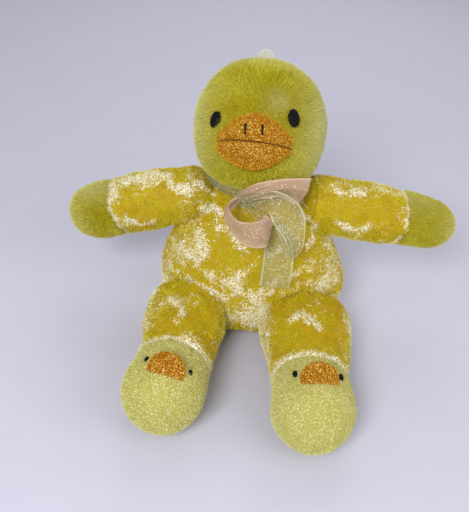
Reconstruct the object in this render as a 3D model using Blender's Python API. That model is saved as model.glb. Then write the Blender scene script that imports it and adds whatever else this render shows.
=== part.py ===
"""Seated plush duck with a two-ribbon bow, in metres with +Z up.

The origin is the middle of the flat seat on the floor. The duck faces -Y, so its own left side
is +X. Covers are shells over stuffing. The head, arms and legs hang from empties that stand on
the axes they turn about. Every soft form is a loft through elliptical rings, and each ring is a
row: its distance along the form, its half width and its half depth.
"""

import math
from dataclasses import dataclass

import bmesh
import bpy
from mathutils import Matrix, Vector

MM = 0.001

# Fabrics and thread
PILE_WALL = 2.6 * MM
VELOUR_WALL = 2.2 * MM
TERRY_WALL = 1.8 * MM
RIBBON_THICKNESS = 0.5 * MM
THREAD_WIDTH = 1.3 * MM
THREAD_RISE = 0.9 * MM

# Fits between neighbouring pieces
SEAM_GAP = 0.3 * MM
STUFFING_GAP = 0.8 * MM
SWING_GAP = 0.8 * MM
FLOOR_PRESS = 0.5 * MM
CUT_OVERRUN = 6 * MM

# Body
BODY_LENGTH = 118 * MM
BODY_WIDTH = 144 * MM
BODY_DEPTH = 84 * MM
BODY_LEAN = math.radians(8)
BODY_SLUMP = 5.5 * MM
NECK_RADIUS = 26 * MM
NECK_STUB_RADIUS = 14 * MM
NECK_STUB_HEIGHT = 14 * MM
BODY_SIDES = 24

# Rows from seat to neck: along, body width, body depth, neck radius
BODY_SHARES = (
    (0.001, 0.42, 0.40, 0.0),
    (0.020, 0.69, 0.67, 0.0),
    (0.060, 0.86, 0.85, 0.0),
    (0.130, 0.95, 0.94, 0.0),
    (0.240, 1.00, 0.99, 0.0),
    (0.380, 1.00, 1.00, 0.0),
    (0.550, 0.910, 0.95, 0.0),
    (0.710, 0.77, 0.86, 0.0),
    (0.850, 0.57, 0.73, 0.0),
    (0.940, 0.33, 0.43, 0.38),
    (1.000, 0.0, 0.0, 1.0),
)

# Tail at the back
TAIL_LENGTH = 26 * MM
TAIL_RADIUS = 13 * MM
TAIL_HEIGHT = 34 * MM
TAIL_RISE = math.radians(28)
TAIL_SIDES = 12
TAIL_SHARES = ((0.0, 1.0), (0.35, 0.92), (0.65, 0.70), (0.88, 0.40), (0.97, 0.18))

# Head
HEAD_HEIGHT = 87 * MM
HEAD_WIDTH = 92.5 * MM
HEAD_DEPTH = 90 * MM
HEAD_CENTRE = 40.5 * MM
HEAD_SEAM_BACK = 18 * MM
HEAD_SIDES = 24
FACE_TURN = math.radians(-6)
FACE_TILT = math.radians(-4.25)

# Rows from neck to crown: along, head width, neck radius
HEAD_SHARES = (
    (0.00, 0.0, 1.0),
    (0.06, 0.735, 0.0),
    (0.15, 0.880, 0.0),
    (0.28, 0.968, 0.0),
    (0.42, 1.000, 0.0),
    (0.56, 0.983, 0.0),
    (0.70, 0.893, 0.0),
    (0.82, 0.738, 0.0),
    (0.91, 0.555, 0.0),
    (0.972, 0.322, 0.0),
    (1.00, 0.0, 0.0),
)

# Bill
BILL_WIDTH = 53.5 * MM
BILL_HEIGHT = 36.5 * MM
BILL_RISE = 3.2 * MM
BILL_DROOP = 4 * MM
BILL_REACH = 14 * MM
BILL_ROOT = 5 * MM
BILL_SIDES = 16
MOUTH_SLOPE = math.radians(27)
MOUTH_TILT = math.radians(3.5)
MOUTH_DROP = 1.5 * MM
BILL_SHARES = ((0.0, 1.0), (0.28, 0.92), (0.52, 0.74), (0.74, 0.52), (0.92, 0.30), (1.0, 0.0))
NOSTRIL_SPREAD = 5.4 * MM
NOSTRIL_ASIDE = 1.6 * MM
NOSTRIL_LENGTH = 7 * MM
NOSTRIL_PITCH = math.radians(46)

# Eyes
EYE_WIDTH = 8 * MM
EYE_HEIGHT = 11.5 * MM
EYE_RISE = 2.4 * MM
EYE_TURN = math.radians(37)
EYE_PITCH = math.radians(21)
EYE_UNEVEN = math.radians(1.7)

# Tab in the crown seam
TAB_WIDTH = 14 * MM
TAB_RISE = 8 * MM
TAB_THICKNESS = 1.2 * MM

# Arms
ARM_WIDTH = 45 * MM
ARM_ROOT_RADIUS = 20.5 * MM
ARM_BACK = math.radians(7)
SHOULDER_ALONG = 102 * MM
SHOULDER_STANDOFF = 8 * MM
WRIST_SHARE = 0.60
ARM_SIDES = 16
ARM_RAISE = math.radians(35)
ARM_LOWER = math.radians(22)
ROOT_SIDES = 20

# Rows past the root ball: along, broad side, narrow side
ARM_SHARES = (
    (0.18, 0.96, 0.95),
    (0.40, 1.00, 0.96),
    (0.60, 0.97, 0.86),
    (0.74, 1.00, 0.80),
    (0.86, 0.90, 0.72),
    (0.94, 0.68, 0.55),
    (0.985, 0.36, 0.30),
    (1.00, 0.0, 0.0),
)

# Legs and feet
LEG_HEIGHT = 52 * MM
HIP_STANDOFF = 9 * MM
FOOT_RADIUS = 27.8 * MM
CUFF_SHARE = 0.60
LEG_SIDES = 20
LEG_RAISE = math.radians(18)
LEG_LOWER = math.radians(70)

# Rows past the root ball up to the foot: along, leg width, leg height, foot radius
LEG_SHARES = (
    (0.00, 1.00, 1.00, 0.0),
    (0.20, 0.99, 0.99, 0.0),
    (0.42, 0.87, 0.96, 0.0),
    (0.62, 0.40, 0.46, 0.46),
    (0.80, 0.0, 0.0, 0.945),
    (1.00, 0.0, 0.0, 1.0),
)
FOOT_BILL_WIDTH = 25.5 * MM
FOOT_BILL_LENGTH = 12.5 * MM
FOOT_BILL_THICKNESS = 3 * MM
FOOT_BILL_TILT = math.radians(30)
FOOT_BILL_SINK = 3 * MM
FOOT_BILL_SIDES = 16
FOOT_EYE_LENGTH = 5 * MM
FOOT_EYE_WIDTH = 3.2 * MM
FOOT_EYE_RISE = 1.4 * MM
FOOT_EYE_SPREAD = math.radians(33)
FOOT_EYE_BACK = 8 * MM

# Ribbons
RIBBON_WIDTH = 22 * MM
BAND_WIDTH = 8 * MM
BAND_LIFT = 2.5 * MM
BAND_THICKNESS = 1.6 * MM
BAND_CLEARANCE = 0.6 * MM
BAND_PUFF = 2.4 * MM
BAND_SIDES = 28
KNOT_WIDTH = 11 * MM
KNOT_HEIGHT = 10 * MM
KNOT_DEPTH = 10 * MM
KNOT_REACH = 37 * MM
KNOT_TURN = math.radians(-16)
BOW_SPAN = 50 * MM
RIBBON_STEPS = 4

# Ribbon rows from the knot: right, up, forward, width, then the width's own direction
PEACH_TAIL_SHARES = (
    (0.00, 0.03, 0.00, 0.34, (0.0, -0.3, 1.0)),
    (0.28, 0.22, 0.13, 0.70, (0.0, -0.3, 1.0)),
    (0.58, 0.27, 0.08, 0.80, (0.0, -0.2, 1.0)),
    (0.89, 0.17, -0.02, 1.00, (-0.1, 0.0, 1.0)),
)
PEACH_LOOP_SHARES = (
    (-0.02, 0.00, 0.03, 0.34, (0.1, -0.2, 1.0)),
    (-0.10, -0.04, 0.13, 0.55, (0.1, -0.2, 1.0)),
    (-0.18, -0.08, 0.29, 0.70, (0.1, -0.4, 0.9)),
    (-0.04, -0.15, 0.47, 0.75, (-0.2, -0.2, 0.9)),
    (0.16, -0.23, 0.50, 0.90, (-0.1, 0.0, 1.0)),
    (0.36, -0.28, 0.42, 1.00, (-0.1, 0.1, 1.0)),
    (0.44, -0.31, 0.29, 0.80, (0.0, 0.1, 1.0)),
    (0.30, -0.22, 0.17, 0.50, (0.0, 0.0, 1.0)),
)
PALE_LOOP_SHARES = (
    (0.00, 0.00, 0.05, 0.34, (0.1, -0.1, 1.0)),
    (0.23, 0.07, 0.18, 0.45, (0.1, -0.1, 1.0)),
    (0.45, 0.16, 0.27, 0.69, (0.4, 0.5, 0.8)),
    (0.65, 0.02, 0.37, 1.00, (1.0, 0.1, -0.2)),
    (0.77, -0.25, 0.43, 0.70, (1.0, 0.1, 0.0)),
    (0.81, -0.49, 0.45, 0.42, (1.0, 0.0, 0.1)),
    (0.80, -0.66, 0.37, 0.35, (1.0, 0.0, 0.1)),
    (0.74, -0.51, 0.27, 0.35, (1.0, 0.0, 0.1)),
    (0.60, -0.27, 0.21, 0.35, (1.0, 0.0, 0.2)),
)
PALE_TAIL_SHARES = (
    (0.02, -0.04, 0.00, 0.34, (0.6, 0.1, 0.6)),
    (0.26, -0.17, 0.07, 0.40, (0.6, 0.1, 0.6)),
    (0.46, -0.39, 0.11, 0.65, (1.0, 0.1, 0.3)),
    (0.60, -0.67, 0.19, 0.90, (1.0, 0.0, 0.1)),
    (0.62, -0.95, 0.30, 1.00, (1.0, 0.0, 0.1)),
    (0.60, -1.25, 0.39, 1.00, (1.0, 0.1, 0.1)),
)


@dataclass(frozen=True)
class Side:
    """One side of the toy, with the lie of its limbs in the seated pose."""

    name: str
    sign: int
    arm_reach: float
    arm_droop: float
    arm_sag: float
    hand_twist: float
    hip_spread: float
    leg_width: float
    leg_reach: float
    toe_out: float
    foot_roll: float
    sole_ahead: float


RIGHT = Side(
    name="right",
    sign=-1,
    arm_reach=99.5 * MM,
    arm_droop=math.radians(18),
    arm_sag=7.5 * MM,
    hand_twist=math.radians(0),
    hip_spread=44 * MM,
    leg_width=60 * MM,
    leg_reach=80 * MM,
    toe_out=math.radians(10.5),
    foot_roll=math.radians(7),
    sole_ahead=5.5 * MM,
)
LEFT = Side(
    name="left",
    sign=1,
    arm_reach=110.5 * MM,
    arm_droop=math.radians(8.5),
    arm_sag=4 * MM,
    hand_twist=math.radians(90),
    hip_spread=47 * MM,
    leg_width=68 * MM,
    leg_reach=83 * MM,
    toe_out=math.radians(2.5),
    foot_roll=math.radians(2),
    sole_ahead=-1 * MM,
)


def clear_scene():
    """Remove the objects of the start file."""
    for thing in list(bpy.data.objects):
        bpy.data.objects.remove(thing, do_unlink=True)


def fabric(name, colour, roughness, metallic=0):
    """A Principled material, made once for each name."""
    material = bpy.data.materials.get(name)
    if material is None:
        material = bpy.data.materials.new(name)
        material.use_nodes = True
        shader = material.node_tree.nodes["Principled BSDF"]
        shader.inputs["Base Color"].default_value = (*colour, 1)
        shader.inputs["Roughness"].default_value = roughness
        shader.inputs["Metallic"].default_value = metallic
    return material


def yellow_pile():
    return fabric("yellow_pile", (0.62, 0.52, 0.06), 0.95)


def crushed_velour():
    return fabric("crushed_velour", (0.72, 0.52, 0.05), 0.6)


def pale_terry():
    return fabric("pale_terry", (0.72, 0.68, 0.28), 0.8)


def orange_terry():
    return fabric("orange_terry", (0.80, 0.29, 0.02), 0.8)


def black_thread():
    return fabric("black_thread", (0.01, 0.01, 0.01), 0.45)


def brown_thread():
    return fabric("brown_thread", (0.16, 0.05, 0.01), 0.6)


def tab_cloth():
    return fabric("tab_cloth", (0.75, 0.74, 0.68), 0.8)


def pale_organza():
    return fabric("pale_organza", (0.62, 0.58, 0.25), 0.35)


def peach_satin():
    return fabric("peach_satin", (0.80, 0.50, 0.33), 0.35)


def fibre_filling():
    return fabric("fibre_filling", (0.85, 0.85, 0.83), 1)


def to_object(name, bm, material=None):
    """End a bmesh as a smooth-shaded object."""
    bmesh.ops.recalc_face_normals(bm, faces=bm.faces)
    mesh = bpy.data.meshes.new(name)
    bm.to_mesh(mesh)
    bm.free()
    mesh.shade_smooth()
    if material:
        mesh.materials.append(material)
    thing = bpy.data.objects.new(name, mesh)
    bpy.context.scene.collection.objects.link(thing)
    return thing


def smooth_rows(rows, steps=2):
    """Rows on a Catmull-Rom curve through the given rows."""
    fine = []
    last = len(rows) - 1
    for index in range(last):
        before = rows[max(index - 1, 0)]
        start, end = rows[index], rows[index + 1]
        after = rows[min(index + 2, last)]
        for step in range(steps):
            t = step / steps
            weights = (
                -0.5 * t + t**2 - 0.5 * t**3,
                1 - 2.5 * t**2 + 1.5 * t**3,
                0.5 * t + 2 * t**2 - 1.5 * t**3,
                -0.5 * t**2 + 0.5 * t**3,
            )
            corners = zip(before, start, end, after)
            fine.append(tuple(sum(w * v for w, v in zip(weights, four)) for four in corners))
    fine.append(tuple(rows[last]))
    return fine


def grown_rows(rows, grow):
    """Rows moved out of the form by grow, square to its profile; a pole stays a pole."""
    moved = []
    for index, (along, width, depth) in enumerate(rows):
        before = rows[max(index - 1, 0)]
        after = rows[min(index + 1, len(rows) - 1)]
        run = after[0] - before[0]
        rise = (after[1] + after[2] - before[1] - before[2]) / 2
        if width <= 0:
            outwards = -1 if index == 0 else 1
            moved.append((along + outwards * grow, 0, 0))
            continue
        slant = math.hypot(run, rise)
        ahead, out = -rise / slant, run / slant
        moved.append((along + ahead * grow, width + out * grow, depth + out * grow))
    return moved


def row_at(rows, along):
    """The row at one distance along the form."""
    for first, second in zip(rows, rows[1:]):
        if first[0] <= along <= second[0]:
            share = (along - first[0]) / (second[0] - first[0])
            return tuple(a + share * (b - a) for a, b in zip(first, second))
    return rows[0] if along < rows[0][0] else rows[-1]


def rows_between(rows, start=None, stop=None):
    """The stretch of rows between two distances, with a row on each."""
    kept = [row for row in rows if (start is None or row[0] > start + SEAM_GAP)
            and (stop is None or row[0] < stop - SEAM_GAP)]
    if start is not None:
        kept.insert(0, (start, *row_at(rows, start)[1:]))
    if stop is not None:
        kept.append((stop, *row_at(rows, stop)[1:]))
    return kept


def dome_rows(radius_ahead, width, depth, steps, opening):
    """Rows of a half ellipsoid, from its pole to its rim, or from its rim to its pole."""
    rows = []
    for step in range(steps):
        angle = math.pi / 2 * step / steps
        along, share = math.cos(angle) * radius_ahead, math.sin(angle)
        rows.append((-along, width * share, depth * share))
    if opening:
        return rows
    return [(-along, w, d) for along, w, d in reversed(rows)]


def place_ring(ring, row, frame_at):
    """Set a ring of vertices round its ellipse."""
    along, width, depth = row
    frame = frame_at(along)
    for index, vert in enumerate(ring):
        angle = math.tau * index / len(ring)
        vert.co = frame @ Vector((width * math.cos(angle), depth * math.sin(angle), 0))


def next_ring(bm, ring):
    """Extrude a ring once; its new vertices keep the old order."""
    edges = [bm.edges.get(pair) for pair in zip(ring, ring[1:] + ring[:1])]
    made = set(bmesh.ops.extrude_edge_only(bm, edges=edges)["geom"])
    return [next(edge.other_vert(vert) for edge in vert.link_edges
                 if edge.other_vert(vert) in made) for vert in ring]


def close_end(bm, ring, pole=None):
    """Fill an end ring flat, or to a point at the pole."""
    face = bm.faces.new(ring)
    if pole is not None:
        point = bmesh.ops.poke(bm, faces=[face])["verts"][0]
        point.co = pole


def loft(name, rows, frame_at, sides, material=None, looped=False):
    """A closed solid through the rows; a looped one joins its last ring to its first."""
    bm = bmesh.new()
    start_pole = frame_at(rows[0][0]).translation if rows[0][1] <= 0 else None
    end_pole = frame_at(rows[-1][0]).translation if rows[-1][1] <= 0 else None
    rows = [row for row in rows if row[1] > 0]
    first = ring = bmesh.ops.create_circle(bm, segments=sides, radius=1)["verts"]
    place_ring(ring, rows[0], frame_at)
    for row in rows[1:]:
        ring = next_ring(bm, ring)
        place_ring(ring, row, frame_at)
    if looped:
        bmesh.ops.weld_verts(bm, targetmap=dict(zip(next_ring(bm, ring), first)))
    else:
        close_end(bm, first, start_pole)
        close_end(bm, ring, end_pole)
    return to_object(name, bm, material)


def shell_rows(rows, wall, start=None, stop=None):
    """Rows of a cup: from the pole inside it, over its open rim, to the pole outside."""
    outside = rows_between(rows, start, stop)
    inside = rows_between(grown_rows(rows, -wall), start, stop)
    if start is None:
        return inside + outside[::-1]
    return inside[::-1] + outside


def boolean(target, cutters, operation="DIFFERENCE"):
    """Cut the target by each cutter and drop the cutters."""
    for cutter in cutters:
        step = target.modifiers.new(cutter.name, "BOOLEAN")
        step.operation = operation
        step.solver = "EXACT"
        step.object = cutter
    settled = target.evaluated_get(bpy.context.evaluated_depsgraph_get())
    mesh = bpy.data.meshes.new_from_object(settled)
    target.modifiers.clear()
    old = target.data
    target.data = mesh
    bpy.data.meshes.remove(old)
    for cutter in cutters:
        bpy.data.objects.remove(cutter, do_unlink=True)
    return target


def block(name, frame, size):
    """A cutter whose lower face lies in the frame's XY plane."""
    bm = bmesh.new()
    lift = Matrix.Translation((0, 0, size / 2))
    bmesh.ops.create_cube(bm, size=size, matrix=frame @ lift)
    return to_object(name, bm)


def ellipsoid(name, frame, radii, material=None, segments=16, rings=10):
    """An ellipsoid in a frame."""
    bm = bmesh.new()
    shape = frame @ Matrix.Diagonal((*radii, 1))
    bmesh.ops.create_uvsphere(bm, u_segments=segments, v_segments=rings, radius=1, matrix=shape)
    return to_object(name, bm, material)


def press_on_floor(thing):
    """Cut a form off flat at the floor."""
    bm = bmesh.new()
    bm.from_mesh(thing.data)
    geometry = bm.verts[:] + bm.edges[:] + bm.faces[:]
    cut = bmesh.ops.bisect_plane(bm, geom=geometry, plane_co=(0, 0, 0), plane_no=(0, 0, -1),
                                 clear_outer=True)["geom_cut"]
    rim = [item for item in cut if isinstance(item, bmesh.types.BMEdge)]
    bmesh.ops.edgenet_fill(bm, edges=rim)
    bmesh.ops.recalc_face_normals(bm, faces=bm.faces)
    bm.to_mesh(thing.data)
    bm.free()
    return thing


def frame_from(origin, ahead, across):
    """A frame at a point with +Z ahead and +X as near across as it can be."""
    z = Vector(ahead).normalized()
    y = z.cross(Vector(across)).normalized()
    x = y.cross(z)
    frame = Matrix((x, y, z)).transposed().to_4x4()
    frame.translation = origin
    return frame


def body_frame(along):
    """The body's ring frame: level at the seat, where it slumps aside, and square to the neck."""
    axis = Vector((0, math.sin(BODY_LEAN), math.cos(BODY_LEAN)))
    share = min(max(along / BODY_LENGTH, 0), 1)
    point = axis * along + Vector((BODY_SLUMP * (1 - share), 0, 0))
    return Matrix.Translation(point) @ Matrix.Rotation(-BODY_LEAN * share, 4, "X")


def body_rows():
    rows = [
        (
            along * BODY_LENGTH,
            width * BODY_WIDTH / 2 + neck * NECK_RADIUS,
            depth * BODY_DEPTH / 2 + neck * NECK_RADIUS,
        )
        for along, width, depth, neck in BODY_SHARES
    ]
    return [(-FLOOR_PRESS, 0, 0)] + rows


def chest_front(x, z):
    """How far forward the body reaches at one place seen from the front, as a Y value."""
    along = z / math.cos(BODY_LEAN)
    _, width, depth = row_at(body_rows(), along)
    centre = body_frame(min(along, BODY_LENGTH)).translation
    return centre.y - depth * math.sqrt(max(1 - ((x - centre.x) / width) ** 2, 0))


def body_form(name, grow):
    """The whole outside of the body, without its seats for the limbs."""
    return loft(name, grown_rows(body_rows(), grow), body_frame, BODY_SIDES)


def neck_frame():
    return body_frame(BODY_LENGTH)


def head_rows():
    return [
        (along * HEAD_HEIGHT, width * HEAD_WIDTH / 2 + neck * NECK_RADIUS,
         width * HEAD_DEPTH / 2 + neck * NECK_RADIUS)
        for along, width, neck in HEAD_SHARES
    ]


def head_frame(along):
    return neck_frame() @ Matrix.Translation((0, 0, along))


def head_form(name, grow):
    """The outside of the head, run on below the neck so that it cuts cleanly there."""
    return loft(name, grown_rows(head_rows(), grow), head_frame, HEAD_SIDES)


def face_frame():
    """Centre of the head with -Y to the front of the face."""
    turn = Matrix.Rotation(FACE_TURN, 4, "Z") @ Matrix.Rotation(FACE_TILT, 4, "Y")
    return head_frame(HEAD_CENTRE) @ turn


def on_head(turn, pitch):
    """A frame on the head's surface, +Z outwards and +X across the face."""
    height = math.tan(pitch)
    ray = Vector((math.sin(turn), -math.cos(turn), height)).normalized()
    radii = (HEAD_WIDTH / 2, HEAD_DEPTH / 2, HEAD_HEIGHT - HEAD_CENTRE)
    reach = 1 / math.sqrt(sum((part / radius) ** 2 for part, radius in zip(ray, radii)))
    point = ray * reach
    normal = Vector([part / radius**2 for part, radius in zip(point, radii)])
    return face_frame() @ frame_from(point, normal, (math.cos(turn), math.sin(turn), 0))


def make_head():
    """Face and back panels of pile fabric, the tab in their seam, and the stuffing."""
    pieces = []
    rows = head_rows()
    start = SEAM_GAP / 2
    seam = head_frame(HEAD_CENTRE) @ Matrix.Translation((0, HEAD_SEAM_BACK, 0))
    reach = HEAD_WIDTH + HEAD_HEIGHT
    for name, ahead in (("head_front", 1), ("head_back", -1)):
        cover = loft(name, shell_rows(rows, PILE_WALL, start=start), head_frame, HEAD_SIDES,
                     yellow_pile())
        facing = seam @ Matrix.Rotation(-ahead * math.pi / 2, 4, "X")
        keep_off = facing @ Matrix.Translation((0, 0, -SEAM_GAP / 2))
        pieces.append(boolean(cover, [block("panel_cut", keep_off, reach)]))
    filling = rows_between(grown_rows(rows, -PILE_WALL - STUFFING_GAP), start=start)
    stuffing = loft("head_stuffing", filling, head_frame, HEAD_SIDES, fibre_filling())
    well = [(along, NECK_STUB_RADIUS + STUFFING_GAP, NECK_STUB_RADIUS + STUFFING_GAP)
            for along in (-CUT_OVERRUN, NECK_STUB_HEIGHT + STUFFING_GAP)]
    pieces.append(boolean(stuffing, [loft("well", well, head_frame, BODY_SIDES)]))
    pieces.append(make_tab(seam))
    return pieces


def make_tab(seam):
    """Half-round cloth tab standing in the crown seam."""
    radii = (HEAD_DEPTH / 2, HEAD_HEIGHT - HEAD_CENTRE)
    crown = radii[1] * math.sqrt(1 - (HEAD_SEAM_BACK / radii[0]) ** 2)
    bm = bmesh.new()
    upright = seam @ Matrix.Translation((0, 0, crown)) @ Matrix.Rotation(math.pi / 2, 4, "X")
    shape = upright @ Matrix.Diagonal((TAB_WIDTH / 2, TAB_RISE, TAB_THICKNESS, 1))
    bmesh.ops.create_cone(bm, cap_ends=True, segments=24, radius1=1, radius2=1, depth=1,
                          matrix=shape)
    tab = to_object("hang_tab", bm, tab_cloth())
    return boolean(tab, [head_form("head_cut", SEAM_GAP)])


def bill_frame(across):
    """The bill's ring frame: +Z across the face, +X forward, +Y up; its corners droop."""
    front = math.sqrt(max((HEAD_DEPTH / 2) ** 2 - across**2, 0)) - BILL_ROOT
    frame = Matrix(((0, 0, 1, 0), (-1, 0, 0, 0), (0, 1, 0, 0), (0, 0, 0, 1)))
    share = across * 2 / BILL_WIDTH
    frame.translation = (across, -front, BILL_RISE - BILL_DROOP * share**2)
    return face_frame() @ frame


def bill_rows():
    half = [
        (
            across * BILL_WIDTH / 2,
            (BILL_REACH + BILL_ROOT) * height**0.6,
            height * BILL_HEIGHT / 2,
        )
        for across, height in BILL_SHARES
    ]
    half = smooth_rows(half)
    return [(-across, depth, height) for across, depth, height in reversed(half[1:])] + half


def bill_form(name, grow, material=None):
    return loft(name, grown_rows(bill_rows(), grow), bill_frame, BILL_SIDES, material)


def mouth_frame():
    """The mouth's plane: it climbs towards the front, +Z up."""
    low = Matrix.Translation((0, -math.sqrt((HEAD_DEPTH / 2) ** 2 - (BILL_WIDTH / 2) ** 2),
                              -MOUTH_DROP))
    slope = Matrix.Rotation(MOUTH_TILT, 4, "Y") @ Matrix.Rotation(-MOUTH_SLOPE, 4, "X")
    return face_frame() @ low @ slope


def on_bill(across, pitch):
    """A frame on the bill's front, +Z outwards and +X across."""
    _, depth, height = row_at(bill_rows(), across)
    ring = bill_frame(across)
    point = Vector((depth * math.cos(pitch), height * math.sin(pitch), 0))
    normal = Vector((math.cos(pitch) / depth, math.sin(pitch) / height, 0))
    return ring @ frame_from(point, normal, (0, 0, 1))


def make_bill():
    """Two padded terry panels, the filling between them, the mouth thread and the nostrils."""
    pieces = []
    reach = BILL_WIDTH * 2
    for name, up in (("upper_bill", 1), ("lower_bill", -1)):
        panel = bill_form(name, 0, orange_terry())
        other = mouth_frame() @ Matrix.Rotation(math.pi / 2 * (1 + up), 4, "X")
        other = other @ Matrix.Translation((0, 0, -SEAM_GAP / 2))
        pieces.append(boolean(panel, [
            bill_form("bill_inside", -TERRY_WALL),
            head_form("head_cut", SEAM_GAP),
            block("panel_cut", other, reach),
        ]))
    filling = bill_form("bill_stuffing", -TERRY_WALL - SEAM_GAP, fibre_filling())
    pieces.append(boolean(filling, [head_form("head_cut", SEAM_GAP)]))
    stitch = bill_form("mouth_stitch", SEAM_GAP + THREAD_RISE, brown_thread())
    cutters = [bill_form("bill_cut", SEAM_GAP), head_form("head_cut", SEAM_GAP)]
    for turn in (0, math.pi):
        slab = mouth_frame() @ Matrix.Rotation(turn, 4, "X")
        slab = slab @ Matrix.Translation((0, 0, THREAD_WIDTH / 2))
        cutters.append(block("thread_cut", slab, reach))
    pieces.append(boolean(stitch, cutters))
    for name, sign in (("nostril_right", -1), ("nostril_left", 1)):
        spot = on_bill(NOSTRIL_ASIDE + sign * NOSTRIL_SPREAD, NOSTRIL_PITCH)
        radii = (THREAD_WIDTH / 2, NOSTRIL_LENGTH / 2, THREAD_RISE + SEAM_GAP)
        thread = ellipsoid(name, spot, radii, black_thread(), segments=10, rings=12)
        pieces.append(boolean(thread, [bill_form("bill_cut", SEAM_GAP)]))
    return pieces


def make_eyes():
    """Two embroidered oval eyes, raised a little."""
    pieces = []
    for name, sign in (("eye_right", -1), ("eye_left", 1)):
        spot = on_head(sign * EYE_TURN, EYE_PITCH + sign * EYE_UNEVEN)
        radii = (EYE_WIDTH / 2, EYE_HEIGHT / 2, EYE_RISE)
        eye = ellipsoid(name, spot, radii, black_thread())
        pieces.append(boolean(eye, [head_form("head_cut", SEAM_GAP)]))
    return pieces


def shoulder_point(side):
    """Centre of the ball at an arm's root, a little outside the body."""
    _, width, _ = row_at(body_rows(), SHOULDER_ALONG)
    centre = body_frame(SHOULDER_ALONG).translation
    return centre + Vector((side.sign * (width + SHOULDER_STANDOFF), 0, 0))


def arm_frame(side, along, swing=0):
    """The arm's ring frame: +Z along the arm, which droops more towards the hand."""
    share = max(along / side.arm_reach, 0)
    flat = math.cos(ARM_BACK)
    straight = Vector((side.sign * math.cos(side.arm_droop) * flat, math.sin(ARM_BACK),
                       -math.sin(side.arm_droop) * flat))
    down = Vector((0, 0, -side.arm_sag))
    point = shoulder_point(side) + straight * along + down * share**2
    ahead = straight + down * share * 2 / side.arm_reach
    frame = frame_from(point, ahead, (0, 0, 1)) @ Matrix.Rotation(side.hand_twist, 4, "Z")
    return swung(frame, shoulder_point(side), "Y", -side.sign * swing)


def arm_rows(side):
    half = ARM_WIDTH / 2
    root = dome_rows(ARM_ROOT_RADIUS, ARM_ROOT_RADIUS, ARM_ROOT_RADIUS, 4, opening=True)
    rows = [(along * side.arm_reach, broad * half, narrow * half)
            for along, broad, narrow in ARM_SHARES]
    return root + [(0, ARM_ROOT_RADIUS, ARM_ROOT_RADIUS)] + rows


def swung(frame, point, axis, angle):
    """A frame turned about an axis through a point."""
    there = Matrix.Translation(point)
    return there @ Matrix.Rotation(angle, 4, axis) @ there.inverted() @ frame


def make_arm(side):
    """Velour sleeve, pile hand and the stuffing inside both."""
    rows = arm_rows(side)
    wrist = WRIST_SHARE * side.arm_reach

    def frame_at(along):
        return arm_frame(side, along)

    sleeve = shell_rows(rows, VELOUR_WALL, stop=wrist - SEAM_GAP / 2)
    hand = shell_rows(rows, PILE_WALL, start=wrist + SEAM_GAP / 2)
    filling = grown_rows(rows, -PILE_WALL - STUFFING_GAP)
    return [
        loft(f"sleeve_{side.name}", sleeve, frame_at, ARM_SIDES, crushed_velour()),
        loft(f"hand_{side.name}", hand, frame_at, ARM_SIDES, yellow_pile()),
        loft(f"arm_stuffing_{side.name}", filling, frame_at, ARM_SIDES, fibre_filling()),
    ]


def hip_point(side):
    """Centre of the ball at a leg's root, a little in front of the body."""
    z = LEG_HEIGHT / 2 - FLOOR_PRESS
    x = side.sign * side.hip_spread
    return Vector((x, chest_front(x, z) - HIP_STANDOFF, z))


def leg_rows(side):
    half, tall = side.leg_width / 2, LEG_HEIGHT / 2
    root = dome_rows(tall, half, tall, 4, opening=True)
    rows = [
        (
            along * side.leg_reach,
            width * half + foot * FOOT_RADIUS,
            height * tall + foot * FOOT_RADIUS,
        )
        for along, width, height, foot in LEG_SHARES
    ]
    toe = dome_rows(FOOT_RADIUS, FOOT_RADIUS, FOOT_RADIUS, 5, opening=False)
    toe = [(along + side.leg_reach, width, depth) for along, width, depth in toe]
    return root + rows + toe


def leg_frame(side, along, swing=0):
    """The leg's ring frame: +Z along the leg, which turns out towards the toes."""
    share = min(max(along / side.leg_reach, 0), 1)
    past = max(along - side.leg_reach, 0)
    turn = side.toe_out * share
    aside = turn * share * side.leg_reach / 2 + past * math.sin(side.toe_out)
    forward = along - past + past * math.cos(side.toe_out)
    lift = (FOOT_RADIUS - LEG_HEIGHT / 2) * share
    point = hip_point(side) + Vector((side.sign * aside, -forward, lift))
    ahead = Vector((side.sign * math.sin(turn), -math.cos(turn), 0))
    frame = frame_from(point, ahead, (math.cos(turn), side.sign * math.sin(turn), 0))
    return swung(frame, hip_point(side), "X", swing)


def leg_form(name, side, grow, swing=0):
    """The outside of a leg and foot, swung about its hip."""
    rows = grown_rows(leg_rows(side), grow)
    return loft(name, rows, lambda along: leg_frame(side, along, swing), LEG_SIDES)


def make_leg(side):
    """Velour leg, terry foot with its sole, and the stuffing inside them."""
    rows = leg_rows(side)
    cuff = CUFF_SHARE * side.leg_reach
    seam = side.leg_reach + side.sole_ahead
    half_gap = SEAM_GAP / 2

    def frame_at(along):
        return leg_frame(side, along)

    upper = rows_between(rows, cuff + half_gap, seam - half_gap)
    lining = rows_between(grown_rows(rows, -TERRY_WALL), cuff + half_gap, seam - half_gap)
    pieces = [
        loft(f"leg_cover_{side.name}", shell_rows(rows, VELOUR_WALL, stop=cuff - half_gap),
             frame_at, LEG_SIDES, crushed_velour()),
        loft(f"foot_upper_{side.name}", upper + lining[::-1], frame_at, LEG_SIDES,
             pale_terry(), looped=True),
        loft(f"foot_sole_{side.name}", shell_rows(rows, TERRY_WALL, start=seam + half_gap),
             frame_at, LEG_SIDES, pale_terry()),
        loft(f"leg_stuffing_{side.name}", grown_rows(rows, -VELOUR_WALL - STUFFING_GAP),
             frame_at, LEG_SIDES, fibre_filling()),
    ]
    pieces = [press_on_floor(piece) for piece in pieces]
    return pieces + make_foot_face(side)


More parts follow.
